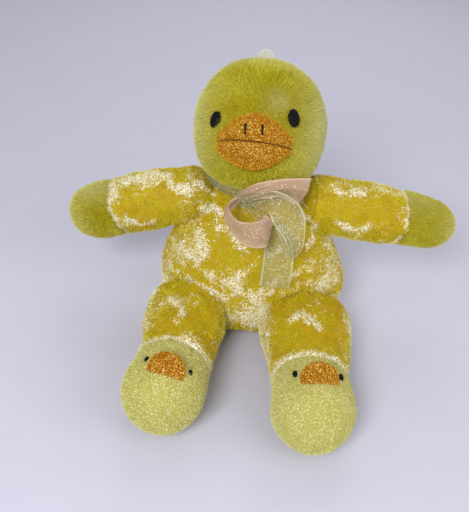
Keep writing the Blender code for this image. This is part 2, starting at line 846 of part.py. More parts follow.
def make_foot_bill(side, level, radius):
    """Padded half-round flap that stands on the sole seam and bends with the foot."""
    width, thick = FOOT_BILL_WIDTH / 2, FOOT_BILL_THICKNESS / 2
    rows = [(-FOOT_BILL_SINK, width, thick), (0, width, thick)]
    rows += dome_rows(FOOT_BILL_LENGTH, width, thick, 4, opening=False)
    lean = Matrix.Translation((0, 0, radius)) @ Matrix.Rotation(FOOT_BILL_TILT, 4, "X")
    lean = lean @ frame_from((0, 0, 0), (0, 1, 0), (1, 0, 0))
    flap = loft(f"foot_bill_{side.name}", rows,
                lambda along: lean @ Matrix.Translation((0, 0, along)), FOOT_BILL_SIDES,
                orange_terry())
    for vert in flap.data.vertices:
        bend = Matrix.Rotation(vert.co.x / radius, 4, "Y")
        vert.co = level @ bend @ Vector((0, vert.co.y, vert.co.z))
    return boolean(flap, [leg_form("leg_cut", side, SEAM_GAP)])


def make_foot_face(side):
    """Orange flap on the top of the sole seam and a small eye at each side of it."""
    along = side.leg_reach + side.sole_ahead
    seam = leg_frame(side, along)
    radius = row_at(leg_rows(side), along)[2]
    level = frame_from(seam.translation, (0, 0, 1), seam.col[0].to_3d())
    level = level @ Matrix.Rotation(side.foot_roll, 4, "Y")
    pieces = [make_foot_bill(side, level, radius)]
    for label, aside in (("inner", -side.sign), ("outer", side.sign)):
        angle = aside * FOOT_EYE_SPREAD
        spot = level @ Matrix.Translation((0, FOOT_EYE_BACK, 0)) @ Matrix.Rotation(angle, 4, "Y")
        spot = spot @ Matrix.Translation((0, 0, radius))
        radii = (FOOT_EYE_WIDTH / 2, FOOT_EYE_LENGTH / 2, FOOT_EYE_RISE)
        eye = ellipsoid(f"foot_eye_{label}_{side.name}", spot, radii, black_thread(), 12, 8)
        pieces.append(boolean(eye, [leg_form("leg_cut", side, SEAM_GAP)]))
    return pieces


def swing_space(name, point, radii, rings, grow):
    """The convex space of a limb's root and of its rings through its swing."""
    bm = bmesh.new()
    root = Matrix.Translation(point) @ Matrix.Diagonal((*[r + grow for r in radii], 1))
    bmesh.ops.create_uvsphere(bm, u_segments=ROOT_SIDES, v_segments=ROOT_SIDES // 2, radius=1,
                              matrix=root)
    for frame, width, depth in rings:
        shape = frame @ Matrix.Diagonal((width + grow, depth + grow, 1, 1))
        bmesh.ops.create_circle(bm, segments=ROOT_SIDES, radius=1, matrix=shape)
    bmesh.ops.delete(bm, geom=bm.edges, context="EDGES_FACES")
    hull = bmesh.ops.convex_hull(bm, input=bm.verts)
    inside = {item for key in ("geom_interior", "geom_unused") for item in hull[key]
              if isinstance(item, bmesh.types.BMVert) and item.is_valid}
    bmesh.ops.delete(bm, geom=list(inside), context="VERTS")
    return to_object(name, bm)


def arm_space(side, grow):
    """The space that an arm sweeps beside the body."""
    rings = []
    for swing in (-ARM_LOWER, 0, ARM_RAISE):
        for along, width, depth in arm_rows(side):
            if 0 < along <= WRIST_SHARE * side.arm_reach:
                rings.append((arm_frame(side, along, swing), width, depth))
    return swing_space("arm_cut", shoulder_point(side), [ARM_ROOT_RADIUS] * 3, rings, grow)


def leg_space(side, grow):
    """The space that a leg sweeps in front of the body and under it."""
    rings = []
    for swing in (LEG_LOWER, (LEG_LOWER - LEG_RAISE) / 2, -LEG_RAISE):
        for along, width, depth in leg_rows(side):
            if 0 < along < CUFF_SHARE * side.leg_reach:
                rings.append((leg_frame(side, along, swing), width, depth))
    radii = (side.leg_width / 2, LEG_HEIGHT / 2, LEG_HEIGHT / 2)
    return swing_space("leg_cut", hip_point(side), radii, rings, grow)


def limb_cutters(grow):
    """The space that all four limbs sweep near the body."""
    return [space(side, grow) for side in (RIGHT, LEFT) for space in (arm_space, leg_space)]


def make_body():
    """Velour body cover with seats for the limbs, its stuffing and the tail."""
    rows = body_rows()
    rim = BODY_LENGTH - SEAM_GAP / 2
    outside = loft("body_cover", rows_between(rows, stop=rim), body_frame, BODY_SIDES,
                   crushed_velour())
    cover = boolean(press_on_floor(outside), limb_cutters(SWING_GAP))

    inner = rows_between(grown_rows(rows, -VELOUR_WALL), stop=rim)
    throat = inner[-1][1]
    inner.append((rim + CUT_OVERRUN, throat, throat))
    cavity = loft("body_inside", inner, body_frame, BODY_SIDES)
    cavity = boolean(cavity, limb_cutters(SWING_GAP + VELOUR_WALL))
    cover = boolean(cover, [cavity])

    inset = VELOUR_WALL + STUFFING_GAP
    filling = rows_between(grown_rows(rows, -inset), stop=rim)
    filling.append((rim, NECK_STUB_RADIUS, NECK_STUB_RADIUS))
    filling.append((rim + NECK_STUB_HEIGHT, NECK_STUB_RADIUS, NECK_STUB_RADIUS))
    stuffing = loft("body_stuffing", filling, body_frame, BODY_SIDES, fibre_filling())
    stuffing = boolean(stuffing, limb_cutters(SWING_GAP + inset))
    return [cover, stuffing, make_tail()]


def make_tail():
    """Stuffed cone sewn to the back of the body."""
    _, _, depth = row_at(body_rows(), TAIL_HEIGHT)
    centre = body_frame(TAIL_HEIGHT).translation
    ahead = (0, math.cos(TAIL_RISE), math.sin(TAIL_RISE))
    base = frame_from(centre + Vector((0, depth - CUT_OVERRUN, 0)), ahead, (1, 0, 0))
    rows = [(along * TAIL_LENGTH, width * TAIL_RADIUS, width * TAIL_RADIUS)
            for along, width in TAIL_SHARES]
    rows = smooth_rows(rows) + [(TAIL_LENGTH, 0, 0)]
    tail = loft("tail", rows, lambda along: base @ Matrix.Translation((0, 0, along)),
                TAIL_SIDES, crushed_velour())
    return boolean(tail, [body_form("body_cut", SEAM_GAP)])


def knot_frame():
    """Centre of the knot, in front of the neck band."""
    neck = neck_frame()
    spot = Vector((math.sin(KNOT_TURN), -math.cos(KNOT_TURN), 0)) * KNOT_REACH
    return neck @ Matrix.Translation(spot) @ Matrix.Rotation(KNOT_TURN, 4, "Z")


def knot_form(name, grow, material=None):
    radii = [size / 2 + grow for size in (KNOT_WIDTH, KNOT_DEPTH, KNOT_HEIGHT)]
    return ellipsoid(name, knot_frame(), radii, material, segments=18, rings=12)


def make_band():
    """Gathered ribbon round the neck, in the groove between head and body."""
    bottom, top = BAND_LIFT - BAND_WIDTH / 2, BAND_LIFT + BAND_WIDTH / 2
    _, body_width, _ = row_at(body_rows(), BODY_LENGTH + bottom)
    _, head_width, _ = row_at(head_rows(), top)
    low, high = body_width + BAND_CLEARANCE, head_width + BAND_CLEARANCE
    middle = (low + high) / 2
    inside = [(bottom, low), (BAND_LIFT, middle), (top, high)]
    outside = [(bottom, low + BAND_THICKNESS), (BAND_LIFT, middle + BAND_PUFF),
               (top, high + BAND_THICKNESS)]
    rows = [(along, radius, radius) for along, radius in outside + inside[::-1]]
    band = loft("neck_ribbon", rows, head_frame, BAND_SIDES, pale_organza(), looped=True)
    spaces = [arm_space(side, SWING_GAP) for side in (RIGHT, LEFT)]
    return boolean(band, [knot_form("knot_cut", SEAM_GAP)] + spaces)


def ribbon(name, shares, material):
    """A strip of ribbon that starts at the knot and hangs in front of the chest."""
    knot = knot_frame().translation
    half = RIBBON_WIDTH / 2
    rows = []
    for right, up, forward, width, lie in shares:
        spot = knot + Vector((right, -forward, up)) * BOW_SPAN
        rows.append((*spot, width * half, *lie))
    bm = bmesh.new()
    rails = []
    for x, y, z, half, a, b, c in smooth_rows(rows, RIBBON_STEPS):
        reach = Vector((a, b, c)).normalized() * half
        rails.append([bm.verts.new(Vector((x, y, z)) + reach * t) for t in (-1, 0, 1)])
    for first, second in zip(rails, rails[1:]):
        for k in (0, 1):
            bm.faces.new((first[k], first[k + 1], second[k + 1], second[k]))
    strip = to_object(name, bm, material)
    skin = strip.modifiers.new("thickness", "SOLIDIFY")
    skin.thickness = RIBBON_THICKNESS
    skin.offset = 0
    return boolean(strip, [knot_form("knot_cut", SEAM_GAP)])


def make_bow():
    """Neck band, knot, and the loop and tail of each ribbon."""
    return [
        make_band(),
        knot_form("bow_knot", 0, pale_organza()),
        ribbon("peach_tail", PEACH_TAIL_SHARES, peach_satin()),
        ribbon("peach_loop", PEACH_LOOP_SHARES, peach_satin()),
        ribbon("pale_loop", PALE_LOOP_SHARES, pale_organza()),
        ribbon("pale_tail", PALE_TAIL_SHARES, pale_organza()),
    ]


def hang_on(name, point, pieces):
    """Stand an empty on a joint's axis and hang the pieces from it."""
    pivot = bpy.data.objects.new(name, None)
    bpy.context.scene.collection.objects.link(pivot)
    pivot.location = point
    for piece in pieces:
        piece.data.transform(Matrix.Translation(-Vector(point)))
        piece.parent = pivot


def main():
    clear_scene()
    hang_on("seat", (0, 0, 0), make_body() + make_bow())
    hang_on("neck_axis", neck_frame().translation, make_head() + make_bill() + make_eyes())
    for side in (RIGHT, LEFT):
        hang_on(f"shoulder_axis_{side.name}", shoulder_point(side), make_arm(side))
        hang_on(f"hip_axis_{side.name}", hip_point(side), make_leg(side))


main()
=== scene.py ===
"""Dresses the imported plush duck: pile head and hands, crushed velour body, terry feet and bow.

Every soft form is a loft through elliptical rings, as its CAD solid is, with finer rows. A row is
its distance along the form, its half width and its half depth. All lengths are in metres.
"""

import logging
import math
from collections.abc import Callable, Sequence
from dataclasses import dataclass, field
from enum import Enum

import bmesh
import bpy
from mathutils import Matrix, Vector, noise
from mathutils.geometry import intersect_point_line


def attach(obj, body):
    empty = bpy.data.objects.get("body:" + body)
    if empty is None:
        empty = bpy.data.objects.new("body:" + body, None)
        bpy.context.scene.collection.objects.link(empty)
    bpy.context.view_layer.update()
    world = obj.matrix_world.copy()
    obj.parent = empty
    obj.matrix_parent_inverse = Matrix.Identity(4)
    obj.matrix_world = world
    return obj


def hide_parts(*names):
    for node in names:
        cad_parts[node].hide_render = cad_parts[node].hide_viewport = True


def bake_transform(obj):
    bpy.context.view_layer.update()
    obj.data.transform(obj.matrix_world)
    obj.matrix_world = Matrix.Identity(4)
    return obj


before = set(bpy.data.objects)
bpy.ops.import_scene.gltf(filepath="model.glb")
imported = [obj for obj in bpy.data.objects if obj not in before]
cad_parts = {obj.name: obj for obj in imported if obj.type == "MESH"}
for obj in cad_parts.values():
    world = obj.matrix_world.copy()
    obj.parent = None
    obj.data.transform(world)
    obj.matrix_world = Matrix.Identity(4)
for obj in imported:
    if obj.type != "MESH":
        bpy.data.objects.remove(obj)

log = logging.getLogger("plush_duck")

MM = 0.001
THREAD_SIDES = 8
ROW_STEPS = 4
"""How many fine rows come of each row of a form."""
CUT_TUCK = 2 * MM
"""How far a cover's fabric turns in at a cut."""
SEAM_GRIP = 2.5 * MM
"""How near a seam the filling doesn't move a cover."""
ROOT_GRIP = 6 * MM
"""How far behind the middle of a limb's root ball it doesn't move one either."""
SEAT_GAP = 0.4 * MM
"""How far the seats in the body stand off the limbs."""
SHINE_REACH = 3.4 * MM
# How far the painted sheen of a fold of the velour reaches.
"""How far the shine of a fold of the velour reaches."""
FOLD_REACH = 3 * MM
"""How far a fold raises the velour to each side."""
REST_HEIGHT = 1.2 * MM
"""Up to this height a cover rests on the floor and has no strands."""
SURFACE_SEARCH = 0.05
"""How far off the nearest place of a surface is looked for."""

Row = tuple[float, ...]
FrameAt = Callable[[float], Matrix]
Triple = tuple[float, float, float]
Colour = Triple
Thing = bpy.types.Object
Vert = bmesh.types.BMVert


class Held(Enum):
    """How a strip of ribbon is held."""

    DRAPED = "draped"
    GATHERED = "gathered"


# Shader sheets


def operator(operation: str, reflected: bool = False) -> Callable[..., "Socket"]:
    """Make an operator of Socket, which adds one Math node.

    Args:
        operation: The Math node's operation.
        reflected: Whether the socket is its second term.

    Returns:
        The operator's method.
    """

    def apply(socket: "Socket", other: "Socket | float") -> "Socket":
        """The Math node's value."""
        terms = (other, socket) if reflected else (socket, other)
        return socket.sheet.node("ShaderNodeMath", {"operation": operation},
                                 dict(enumerate(terms)))

    return apply


class Socket:
    """A shader output that adds Math nodes when it is used in an expression."""

    def __init__(self, sheet: "NodeSheet", link: bpy.types.NodeSocket) -> None:
        """Keep the sheet and the output socket."""
        self.sheet = sheet
        self.link = link

    __add__ = operator("ADD")
    __radd__ = operator("ADD", reflected=True)
    __sub__ = operator("SUBTRACT")
    __rsub__ = operator("SUBTRACT", reflected=True)
    __mul__ = operator("MULTIPLY")
    __rmul__ = operator("MULTIPLY", reflected=True)

    def between(self, low: float, high: float) -> "Socket":
        """A smooth step from 0 at low to 1 at high."""
        return self.sheet.node("ShaderNodeMapRange", {"interpolation_type": "SMOOTHSTEP"},
                               {"Value": self, "From Min": low, "From Max": high})


class NodeSheet:
    """The node tree of one material, with a Principled shader."""

    def __init__(self, name: str) -> None:
        """Make the material and empty its tree.

        Args:
            name: The material's name.
        """
        self.material = bpy.data.materials.new(name)
        self.material.use_nodes = True
        self.tree = self.material.node_tree
        self.tree.nodes.clear()
        self.output = self.tree.nodes.new("ShaderNodeOutputMaterial")
        self.shader = self.tree.nodes.new("ShaderNodeBsdfPrincipled")
        self.tree.links.new(self.shader.outputs[0], self.output.inputs["Surface"])

    def node(self, kind: str, settings: dict, inputs: dict, out: int | str = 0) -> Socket:
        """Add any node: its settings first, then its inputs.

        Args:
            kind: The node's type.
            settings: Its properties.
            inputs: Its sockets' values or links, by name or place.
            out: The output that is wanted.

        Returns:
            That output.
        """
        made = self.tree.nodes.new(kind)
        for key, value in settings.items():
            setattr(made, key, value)
        for key, value in inputs.items():
            self.feed(made.inputs[key], value)
        return Socket(self, made.outputs[out])

    def feed(self, entry: bpy.types.NodeSocket, value: object) -> None:
        """Link or set one input socket.

        Args:
            entry: The socket.
            value: A Socket, or the value itself.
        """
        if isinstance(value, Socket):
            self.tree.links.new(value.link, entry)
        elif isinstance(value, tuple) and len(value) == 3 and entry.type == "RGBA":
            entry.default_value = (*value, 1.0)
        else:
            entry.default_value = value

    def place(self) -> Socket:
        """The point's place on the piece."""
        return self.node("ShaderNodeTexCoord", {}, {}, "Object")

    def attribute(self, name: str) -> Socket:
        """A value that the mesh keeps at its points."""
        return self.node("ShaderNodeAttribute", {"attribute_name": name}, {}, "Fac")

    def noise(self, scale: float, detail: float = 2.0, twist: float = 0.0) -> Socket:
        """Cloudy noise of the given scale, in cycles a metre."""
        values = {"Vector": self.place(), "Scale": scale, "Detail": detail, "Distortion": twist}
        return self.node("ShaderNodeTexNoise", {}, values, "Fac")

    def grains(self, scale: float) -> Socket:
        """One random value for each grain of the given scale.

        Args:
            scale: How many grains there are in a metre.

        Returns:
            The value, from 0 to 1.
        """
        values = {"Vector": self.place(), "Scale": scale}
        colour = self.node("ShaderNodeTexVoronoi", {}, values, "Color")
        return self.node("ShaderNodeSeparateColor", {}, {"Color": colour}, "Red")

    def mix(self, factor: Socket | float, first: object, second: object) -> Socket:
        """A blend of two colours: a factor of 0 gives the first, 1 the second."""
        settings = {"data_type": "RGBA"}
        return self.node("ShaderNodeMix", settings, {0: factor, 6: first, 7: second}, 2)

    def bump(self, height: Socket, distance: float, strength: float = 1.0) -> None:
        """Feed a height to the shader's normal.

        Args:
            height: The height.
            distance: What a height of 1 stands for.
            strength: How much of it shows.
        """
        values = {"Height": height, "Distance": distance, "Strength": strength}
        normal = self.node("ShaderNodeBump", {}, values, "Normal")
        self.feed(self.shader.inputs["Normal"], normal)

    def set(self, **values: object) -> None:
        """Set or link the shader's sockets, named in lower case with underscores."""
        for key, value in values.items():
            label = key.replace("_", " ").title().replace("Ior", "IOR")
            self.feed(self.shader.inputs[label], value)


@dataclass(frozen=True)
class PileFinish:
    """Long matt pile: deep colour at the roots as painted shade, pale tips, cloudy tufts, and
    painted sheen.
    """

    name: str = "yellow_pile"
    # root: painted shade at the strands' base and on the fabric under them; pale: painted sheen
    root: Colour = (0.42, 0.34, 0.004)
    middle: Colour = (0.58, 0.51, 0.008)
    tip: Colour = (0.71, 0.66, 0.07)
    pale: Colour = (0.70, 0.69, 0.36)
    gleam: Colour = (0.95, 0.93, 0.50)
    clouds: float = 38.0
    tufts: float = 420.0

    def make(self) -> bpy.types.Material:
        """Build the material.

        Returns:
            The material.
        """
        sheet = NodeSheet(self.name)
        cloud = sheet.noise(self.clouds, 1.0).between(0.38, 0.64)
        tuft = sheet.noise(self.tufts, 1.0).between(0.3, 0.7)
        tip = sheet.attribute("tip")
        shade = sheet.attribute("shade")
        body = sheet.mix(cloud, self.middle, self.tip)
        # Painted shade: the strands darken to the root colour towards their base, and the bare
        # fabric takes it.
        body = sheet.mix(tip.between(0.0, 0.7), self.root, body)
        body = sheet.mix(tip * shade * 0.6, body, self.tip)
        body = sheet.mix(tuft * 0.15, body, self.root)
        # Painted sheen: the edge value pales the pile.
        body = sheet.mix(sheet.attribute("edge") * 0.8, body, self.pale)
        sheet.set(base_color=body, roughness=0.9, sheen_weight=0.10, sheen_roughness=0.5,
                  sheen_tint=self.gleam, specular_ior_level=0.1)
        return sheet.material


@dataclass(frozen=True)
class VelourFinish:
    """Crushed velour: golden where the nap leans away; where it shines, painted sheen in a pale
    colour and painted bright glints; painted shade at the roots.
    """

    name: str = "crushed_velour"
    # root: painted shade at the nap's base and on the fabric under it
    root: Colour = (0.50, 0.36, 0.003)
    amber: Colour = (0.66, 0.44, 0.003)
    gold: Colour = (0.73, 0.65, 0.008)
    # The next two colours are painted sheen and painted glints.
    sheen_cream: Colour = (0.86, 0.80, 0.08)
    glint_white: Colour = (1.0, 1.0, 0.95)
    gleam: Colour = (1.0, 0.95, 0.40)
    clouds: float = 34.0
    streaks: float = 190.0
    folds: float = 70.0
    grains: float = 1900.0
    warmth: float = 52.0
    relief: float = 0.6 * MM

    def make(self) -> bpy.types.Material:
        """Build the material.

        Returns:
            The material.
        """
        sheet = NodeSheet(self.name)
        edge = sheet.attribute("edge")
        cloud = sheet.noise(self.clouds, 2.0, 0.4)
        streak = sheet.noise(self.streaks, 3.0, 1.4)
        fold = sheet.noise(self.folds, 1.0, 0.8) - 0.5
        crest = 1.0 - (fold * fold * 420.0).between(0.0, 1.0)
        # Painted sheen: cloudy patches, streaks, fold crests and the edge value pale the velour.
        crushed_sheen = (cloud * 0.50 + streak * 0.33 + crest * 0.06 + edge * 0.27).between(0.48, 0.64)
        grain = sheet.grains(self.grains)
        # Painted glints: bright specks, denser where the sheen is.
        glint = (grain + crushed_sheen * 0.42 + edge * 0.06 + 0.025).between(1.0, 1.05)
        tip = sheet.attribute("tip")
        shade = sheet.attribute("shade")
        warm = sheet.noise(self.warmth, 1.0).between(0.42, 0.62)
        body = sheet.mix(warm, self.gold, self.amber)
        body = sheet.mix(crushed_sheen * 0.7, body, self.sheen_cream)
        # Painted shade: the nap darkens to the root colour towards its base, and the bare fabric
        # takes it.
        body = sheet.mix(tip.between(0.0, 0.6), self.root, body)
        body = sheet.mix(tip * shade * 0.35, body, self.sheen_cream)
        body = sheet.mix(glint, body, self.glint_white)
        sheet.set(base_color=body, roughness=0.6 - crushed_sheen * 0.2, sheen_weight=0.12,
                  sheen_roughness=0.35, sheen_tint=self.gleam, specular_ior_level=0.25)
        sheet.bump(streak, self.relief, 0.5)
        return sheet.material


@dataclass(frozen=True)
class TerryFinish:
    """Looped terry with glitter in it: painted shade at the loops' roots, and glitter flecks
    partly in the thread's own colour and partly painted glints.
    """

    name: str
    dark: Colour
    main: Colour
    light: Colour
    glitter: Colour
    share: float
    clouds: float = 60.0
    grains: float = 1500.0
    flakes: float = 2300.0
    loops: float = 900.0
    relief: float = 0.5 * MM

    def make(self) -> bpy.types.Material:
        """Build the material.

        Returns:
            The material.
        """
        sheet = NodeSheet(self.name)
        cloud = sheet.noise(self.clouds, 2.0).between(0.35, 0.65)
        grain = sheet.grains(self.grains)
        flake = sheet.grains(self.flakes)
        loops = sheet.noise(self.loops, 1.0)
        tip = sheet.attribute("tip")
        body = sheet.mix(cloud * 0.5, self.main, self.light)
        body = sheet.mix((1.0 - grain).between(0.5, 1.0) * 0.8, body, self.dark)
        # Painted shade: the loops darken to the dark colour towards their base, and the bare
        # fabric takes it.
        body = sheet.mix(tip.between(0.0, 0.8), self.dark, body)
        # Glitter flecks: partly the thread's own colour, partly painted glints.
        glint = flake.between(1.0 - self.share, 1.02 - self.share)
        body = sheet.mix(glint, body, self.glitter)
        sheet.set(base_color=body, roughness=0.8 - glint * 0.45, sheen_weight=0.06,
                  sheen_roughness=0.5, sheen_tint=self.light, specular_ior_level=0.15)
        sheet.bump(loops, self.relief, 0.6)
        return sheet.material


@dataclass(frozen=True)
class ThreadFinish:
    """Stitched thread with a satin gloss along its twist, from its gloss and bump and from a
    painted highlight in the lighter colour.
    """

    name: str
    dark: Colour
    light: Colour
    twists: float = 2600.0
    relief: float = 0.15 * MM

    def make(self) -> bpy.types.Material:
        """Build the material.

        Returns:
            The material.
        """
        sheet = NodeSheet(self.name)
        twist = sheet.noise(self.twists, 1.0, 0.5)
        # The lighter colour along the twist is a painted highlight.
        sheet.set(base_color=sheet.mix(twist, self.dark, self.light), roughness=0.42,
                  specular_ior_level=0.16)
        sheet.bump(twist, self.relief, 0.7)
        return sheet.material


@dataclass(frozen=True)
class RibbonFinish:
    """Sheer woven ribbon with fine threads and a little glitter, painted as bright glints."""

    name: str
    main: Colour
    light: Colour
    cover: float
    glitter: float
    flash: Colour = (1.0, 1.0, 0.92)
    threads: float = 7000.0
    clouds: float = 90.0
    grains: float = 2200.0
    relief: float = 0.05 * MM

    def make(self) -> bpy.types.Material:
        """Build the material.

        Returns:
            The material.
        """
        sheet = NodeSheet(self.name)
        across = sheet.attribute("across")
        along = sheet.attribute("along")
        sine = {"operation": "SINE"}
        weft = sheet.node("ShaderNodeMath", sine, {0: along * self.threads})
        warp = sheet.node("ShaderNodeMath", sine, {0: across * self.threads})
        weave = (weft * warp) * 0.5 + 0.5
        cloud = sheet.noise(self.clouds, 2.0)
        grain = sheet.grains(self.grains)
        # Painted glints: bright specks in the flash colour.
        glint = grain.between(1.0 - self.glitter, 1.0 - self.glitter * 0.6)
        hem = sheet.attribute("hem").between(0.8, 1.0)
        body = sheet.mix(weave * 0.45 + cloud * 0.4, self.main, self.light)
        body = sheet.mix(glint, body, self.flash)
        body = sheet.mix(hem * 0.6, body, self.light)
        clear = self.cover + weave * 0.1 + glint * 0.5 + hem * 0.4
        sheet.set(base_color=body, roughness=0.38 - glint * 0.15, alpha=clear.between(0.0, 1.0),
                  sheen_weight=0.2, sheen_tint=self.light, specular_ior_level=0.5)
        sheet.bump(weave, self.relief, 0.4)
        return sheet.material


@dataclass(frozen=True)
class ClothFinish:
    """Plain woven cloth."""

    name: str
    main: Colour
    light: Colour
    threads: float = 1700.0
    clouds: float = 160.0
    relief: float = 0.1 * MM

    def make(self) -> bpy.types.Material:
        """Build the material.

        Returns:
            The material.
        """
        sheet = NodeSheet(self.name)
        weave = sheet.noise(self.threads, 1.0)
        cloud = sheet.noise(self.clouds, 2.0)
        sheet.set(base_color=sheet.mix(weave * 0.6 + cloud * 0.4, self.main, self.light),
                  roughness=0.85, sheen_weight=0.15)
        sheet.bump(weave, self.relief, 0.5)
        return sheet.material


# Each terry's first colour is painted shade at the loops' roots; its glitter colour is partly
# painted glints.
PALE_TERRY = TerryFinish("pale_terry", (0.50, 0.46, 0.10), (0.79, 0.75, 0.27),
                         (0.87, 0.85, 0.43), (1.0, 0.98, 0.72), 0.12)
ORANGE_TERRY = TerryFinish("orange_terry", (0.34, 0.12, 0.0), (1.0, 0.46, 0.002),
                           (1.0, 0.55, 0.004), (1.0, 0.86, 0.22), 0.14)
BLACK_THREAD = ThreadFinish("black_thread", (0.001, 0.001, 0.001), (0.006, 0.006, 0.006))
BROWN_THREAD = ThreadFinish("brown_thread", (0.08, 0.02, 0.004), (0.16, 0.05, 0.01))
PALE_ORGANZA = RibbonFinish("pale_organza", (0.40, 0.38, 0.14), (0.70, 0.69, 0.42), 0.20, 0.035)
PEACH_SATIN = RibbonFinish("peach_satin", (0.50, 0.32, 0.17), (0.72, 0.50, 0.34), 0.52, 0.03)
TAB_CLOTH = ClothFinish("tab_cloth", (0.52, 0.52, 0.46), (0.66, 0.66, 0.60))


class Finishes:
    """Makes each finish once, when it is first worn."""

    def __init__(self) -> None:
        """Start with no material made."""
        self.made: dict[str, bpy.types.Material] = {}

    def wear(self, piece: Thing, finish: object) -> None:
        """Dress a piece in a finish.

        Args:
            piece: The piece.
            finish: One of the finish classes' objects.
        """
        if finish.name not in self.made:
            self.made[finish.name] = finish.make()
        piece.data.materials.clear()
        piece.data.materials.append(self.made[finish.name])


FINISHES = Finishes()
PILE = PileFinish()
VELOUR = VelourFinish()


# Lofts


def smooth_rows(rows: Sequence[Row], steps: int) -> list[Row]:
    """Rows on a Catmull-Rom curve through the given rows.

    Args:
        rows: The given rows.
        steps: How many rows come of each.

    Returns:
        The finer rows.
    """
    fine: list[Row] = []
    last = len(rows) - 1
    for index in range(last):
        four = (rows[max(index - 1, 0)], rows[index], rows[index + 1], rows[min(index + 2, last)])
        for step in range(steps):
            t = step / steps
            weights = (
                -0.5 * t + t**2 - 0.5 * t**3,
                1 - 2.5 * t**2 + 1.5 * t**3,
                0.5 * t + 2 * t**2 - 1.5 * t**3,
                -0.5 * t**2 + 0.5 * t**3,
            )
            fine.append(tuple(sum(w * v for w, v in zip(weights, parts)) for parts in zip(*four)))
    fine.append(tuple(rows[last]))
    return fine


def grown_rows(rows: Sequence[Row], grow: float) -> list[Row]:
    """Rows moved out of the form by grow, square to its profile; a pole stays a pole.

    Args:
        rows: The form's rows.
        grow: How far they move.

    Returns:
        The moved rows.
    """
    moved: list[Row] = []
    for index, (along, width, depth) in enumerate(rows):
        before = rows[max(index - 1, 0)]
        after = rows[min(index + 1, len(rows) - 1)]
        run = after[0] - before[0]
        rise = (after[1] + after[2] - before[1] - before[2]) / 2
        if width <= 0:
            moved.append((along + (grow if index else -grow), 0.0, 0.0))
            continue
        slant = math.hypot(run, rise)
        out = run / slant
        moved.append((along - rise / slant * grow, width + out * grow, depth + out * grow))
    return moved


def row_at(rows: Sequence[Row], along: float) -> Row:
    """The row at one distance along the form.

    Args:
        rows: The form's rows.
        along: The distance along the form.

    Returns:
        The row.
    """
    for first, second in zip(rows, rows[1:]):
        if first[0] <= along <= second[0]:
            share = (along - first[0]) / max(second[0] - first[0], 1e-9)
            return tuple(a + share * (b - a) for a, b in zip(first, second))
    return rows[0] if along < rows[0][0] else rows[-1]


def cut_rows(rows: Sequence[Row], start: float | None, stop: float | None,
             tuck: float) -> list[Row]:
    """A stretch of rows, closed at each cut by an end tucked inwards.

    Args:
        rows: The form's rows.
        start: Where the stretch starts, or None for the form's own end.
        stop: Where it stops, or None.
        tuck: How far the fabric turns in at a cut.

    Returns:
        The stretch's rows, from pole to pole.
    """
    kept = [r for r in rows if (start is None or r[0] > start + tuck / 2)
            and (stop is None or r[0] < stop - tuck / 2)]
    if start is not None:
        _, width, depth = row_at(rows, start)
        turn = (start, width - tuck, depth - tuck)
        kept = [(start + tuck, 0.0, 0.0), turn, (start, width, depth), *kept]
    if stop is not None:
        _, width, depth = row_at(rows, stop)
        turn = (stop, width - tuck, depth - tuck)
        kept = [*kept, (stop, width, depth), turn, (stop - tuck, 0.0, 0.0)]
    return kept


def dome_rows(ahead: float, width: float, depth: float, steps: int, opening: bool) -> list[Row]:
    """Rows of a half ellipsoid, from its pole to its rim, or from its rim to its pole.

    Args:
        ahead: How far the pole is from the rim.
        width: The rim's half width.
        depth: The rim's half depth.
        steps: How many rows it has.
        opening: Whether it starts at the pole.

    Returns:
        The rows.
    """
    rows: list[Row] = []
    for step in range(steps):
        angle = math.pi / 2 * step / steps
        share = math.sin(angle)
        rows.append((-math.cos(angle) * ahead, width * share, depth * share))
    return rows if opening else [(-a, w, d) for a, w, d in reversed(rows)]


def to_object(name: str, bm: bmesh.types.BMesh) -> Thing:
    """End a bmesh as a smooth-shaded object at the origin.

    Args:
        name: The object's name.
        bm: The bmesh, which is freed.

    Returns:
        The object.
    """
    mesh = bpy.data.meshes.new(name)
    bm.to_mesh(mesh)
    bm.free()
    mesh.shade_smooth()
    thing = bpy.data.objects.new(name, mesh)
    bpy.context.scene.collection.objects.link(thing)
    return thing


def put_in_order(bm: bmesh.types.BMesh, points: Sequence[Vert]) -> None:
    """Give a bmesh's elements a fixed order, which the seeded strands follow.

    Operators leave edges and faces in an order that changes from run to run.

    Args:
        bm: The bmesh.
        points: All its points, in the order that they get.
    """
    for index, point in enumerate(points):
        point.index = index
    for parts in (bm.edges, bm.faces):
        ranked = sorted(parts, key=lambda part: sorted(v.index for v in part.verts))
        for index, part in enumerate(ranked):
            part.index = index
    for parts in (bm.verts, bm.edges, bm.faces):
        parts.sort()


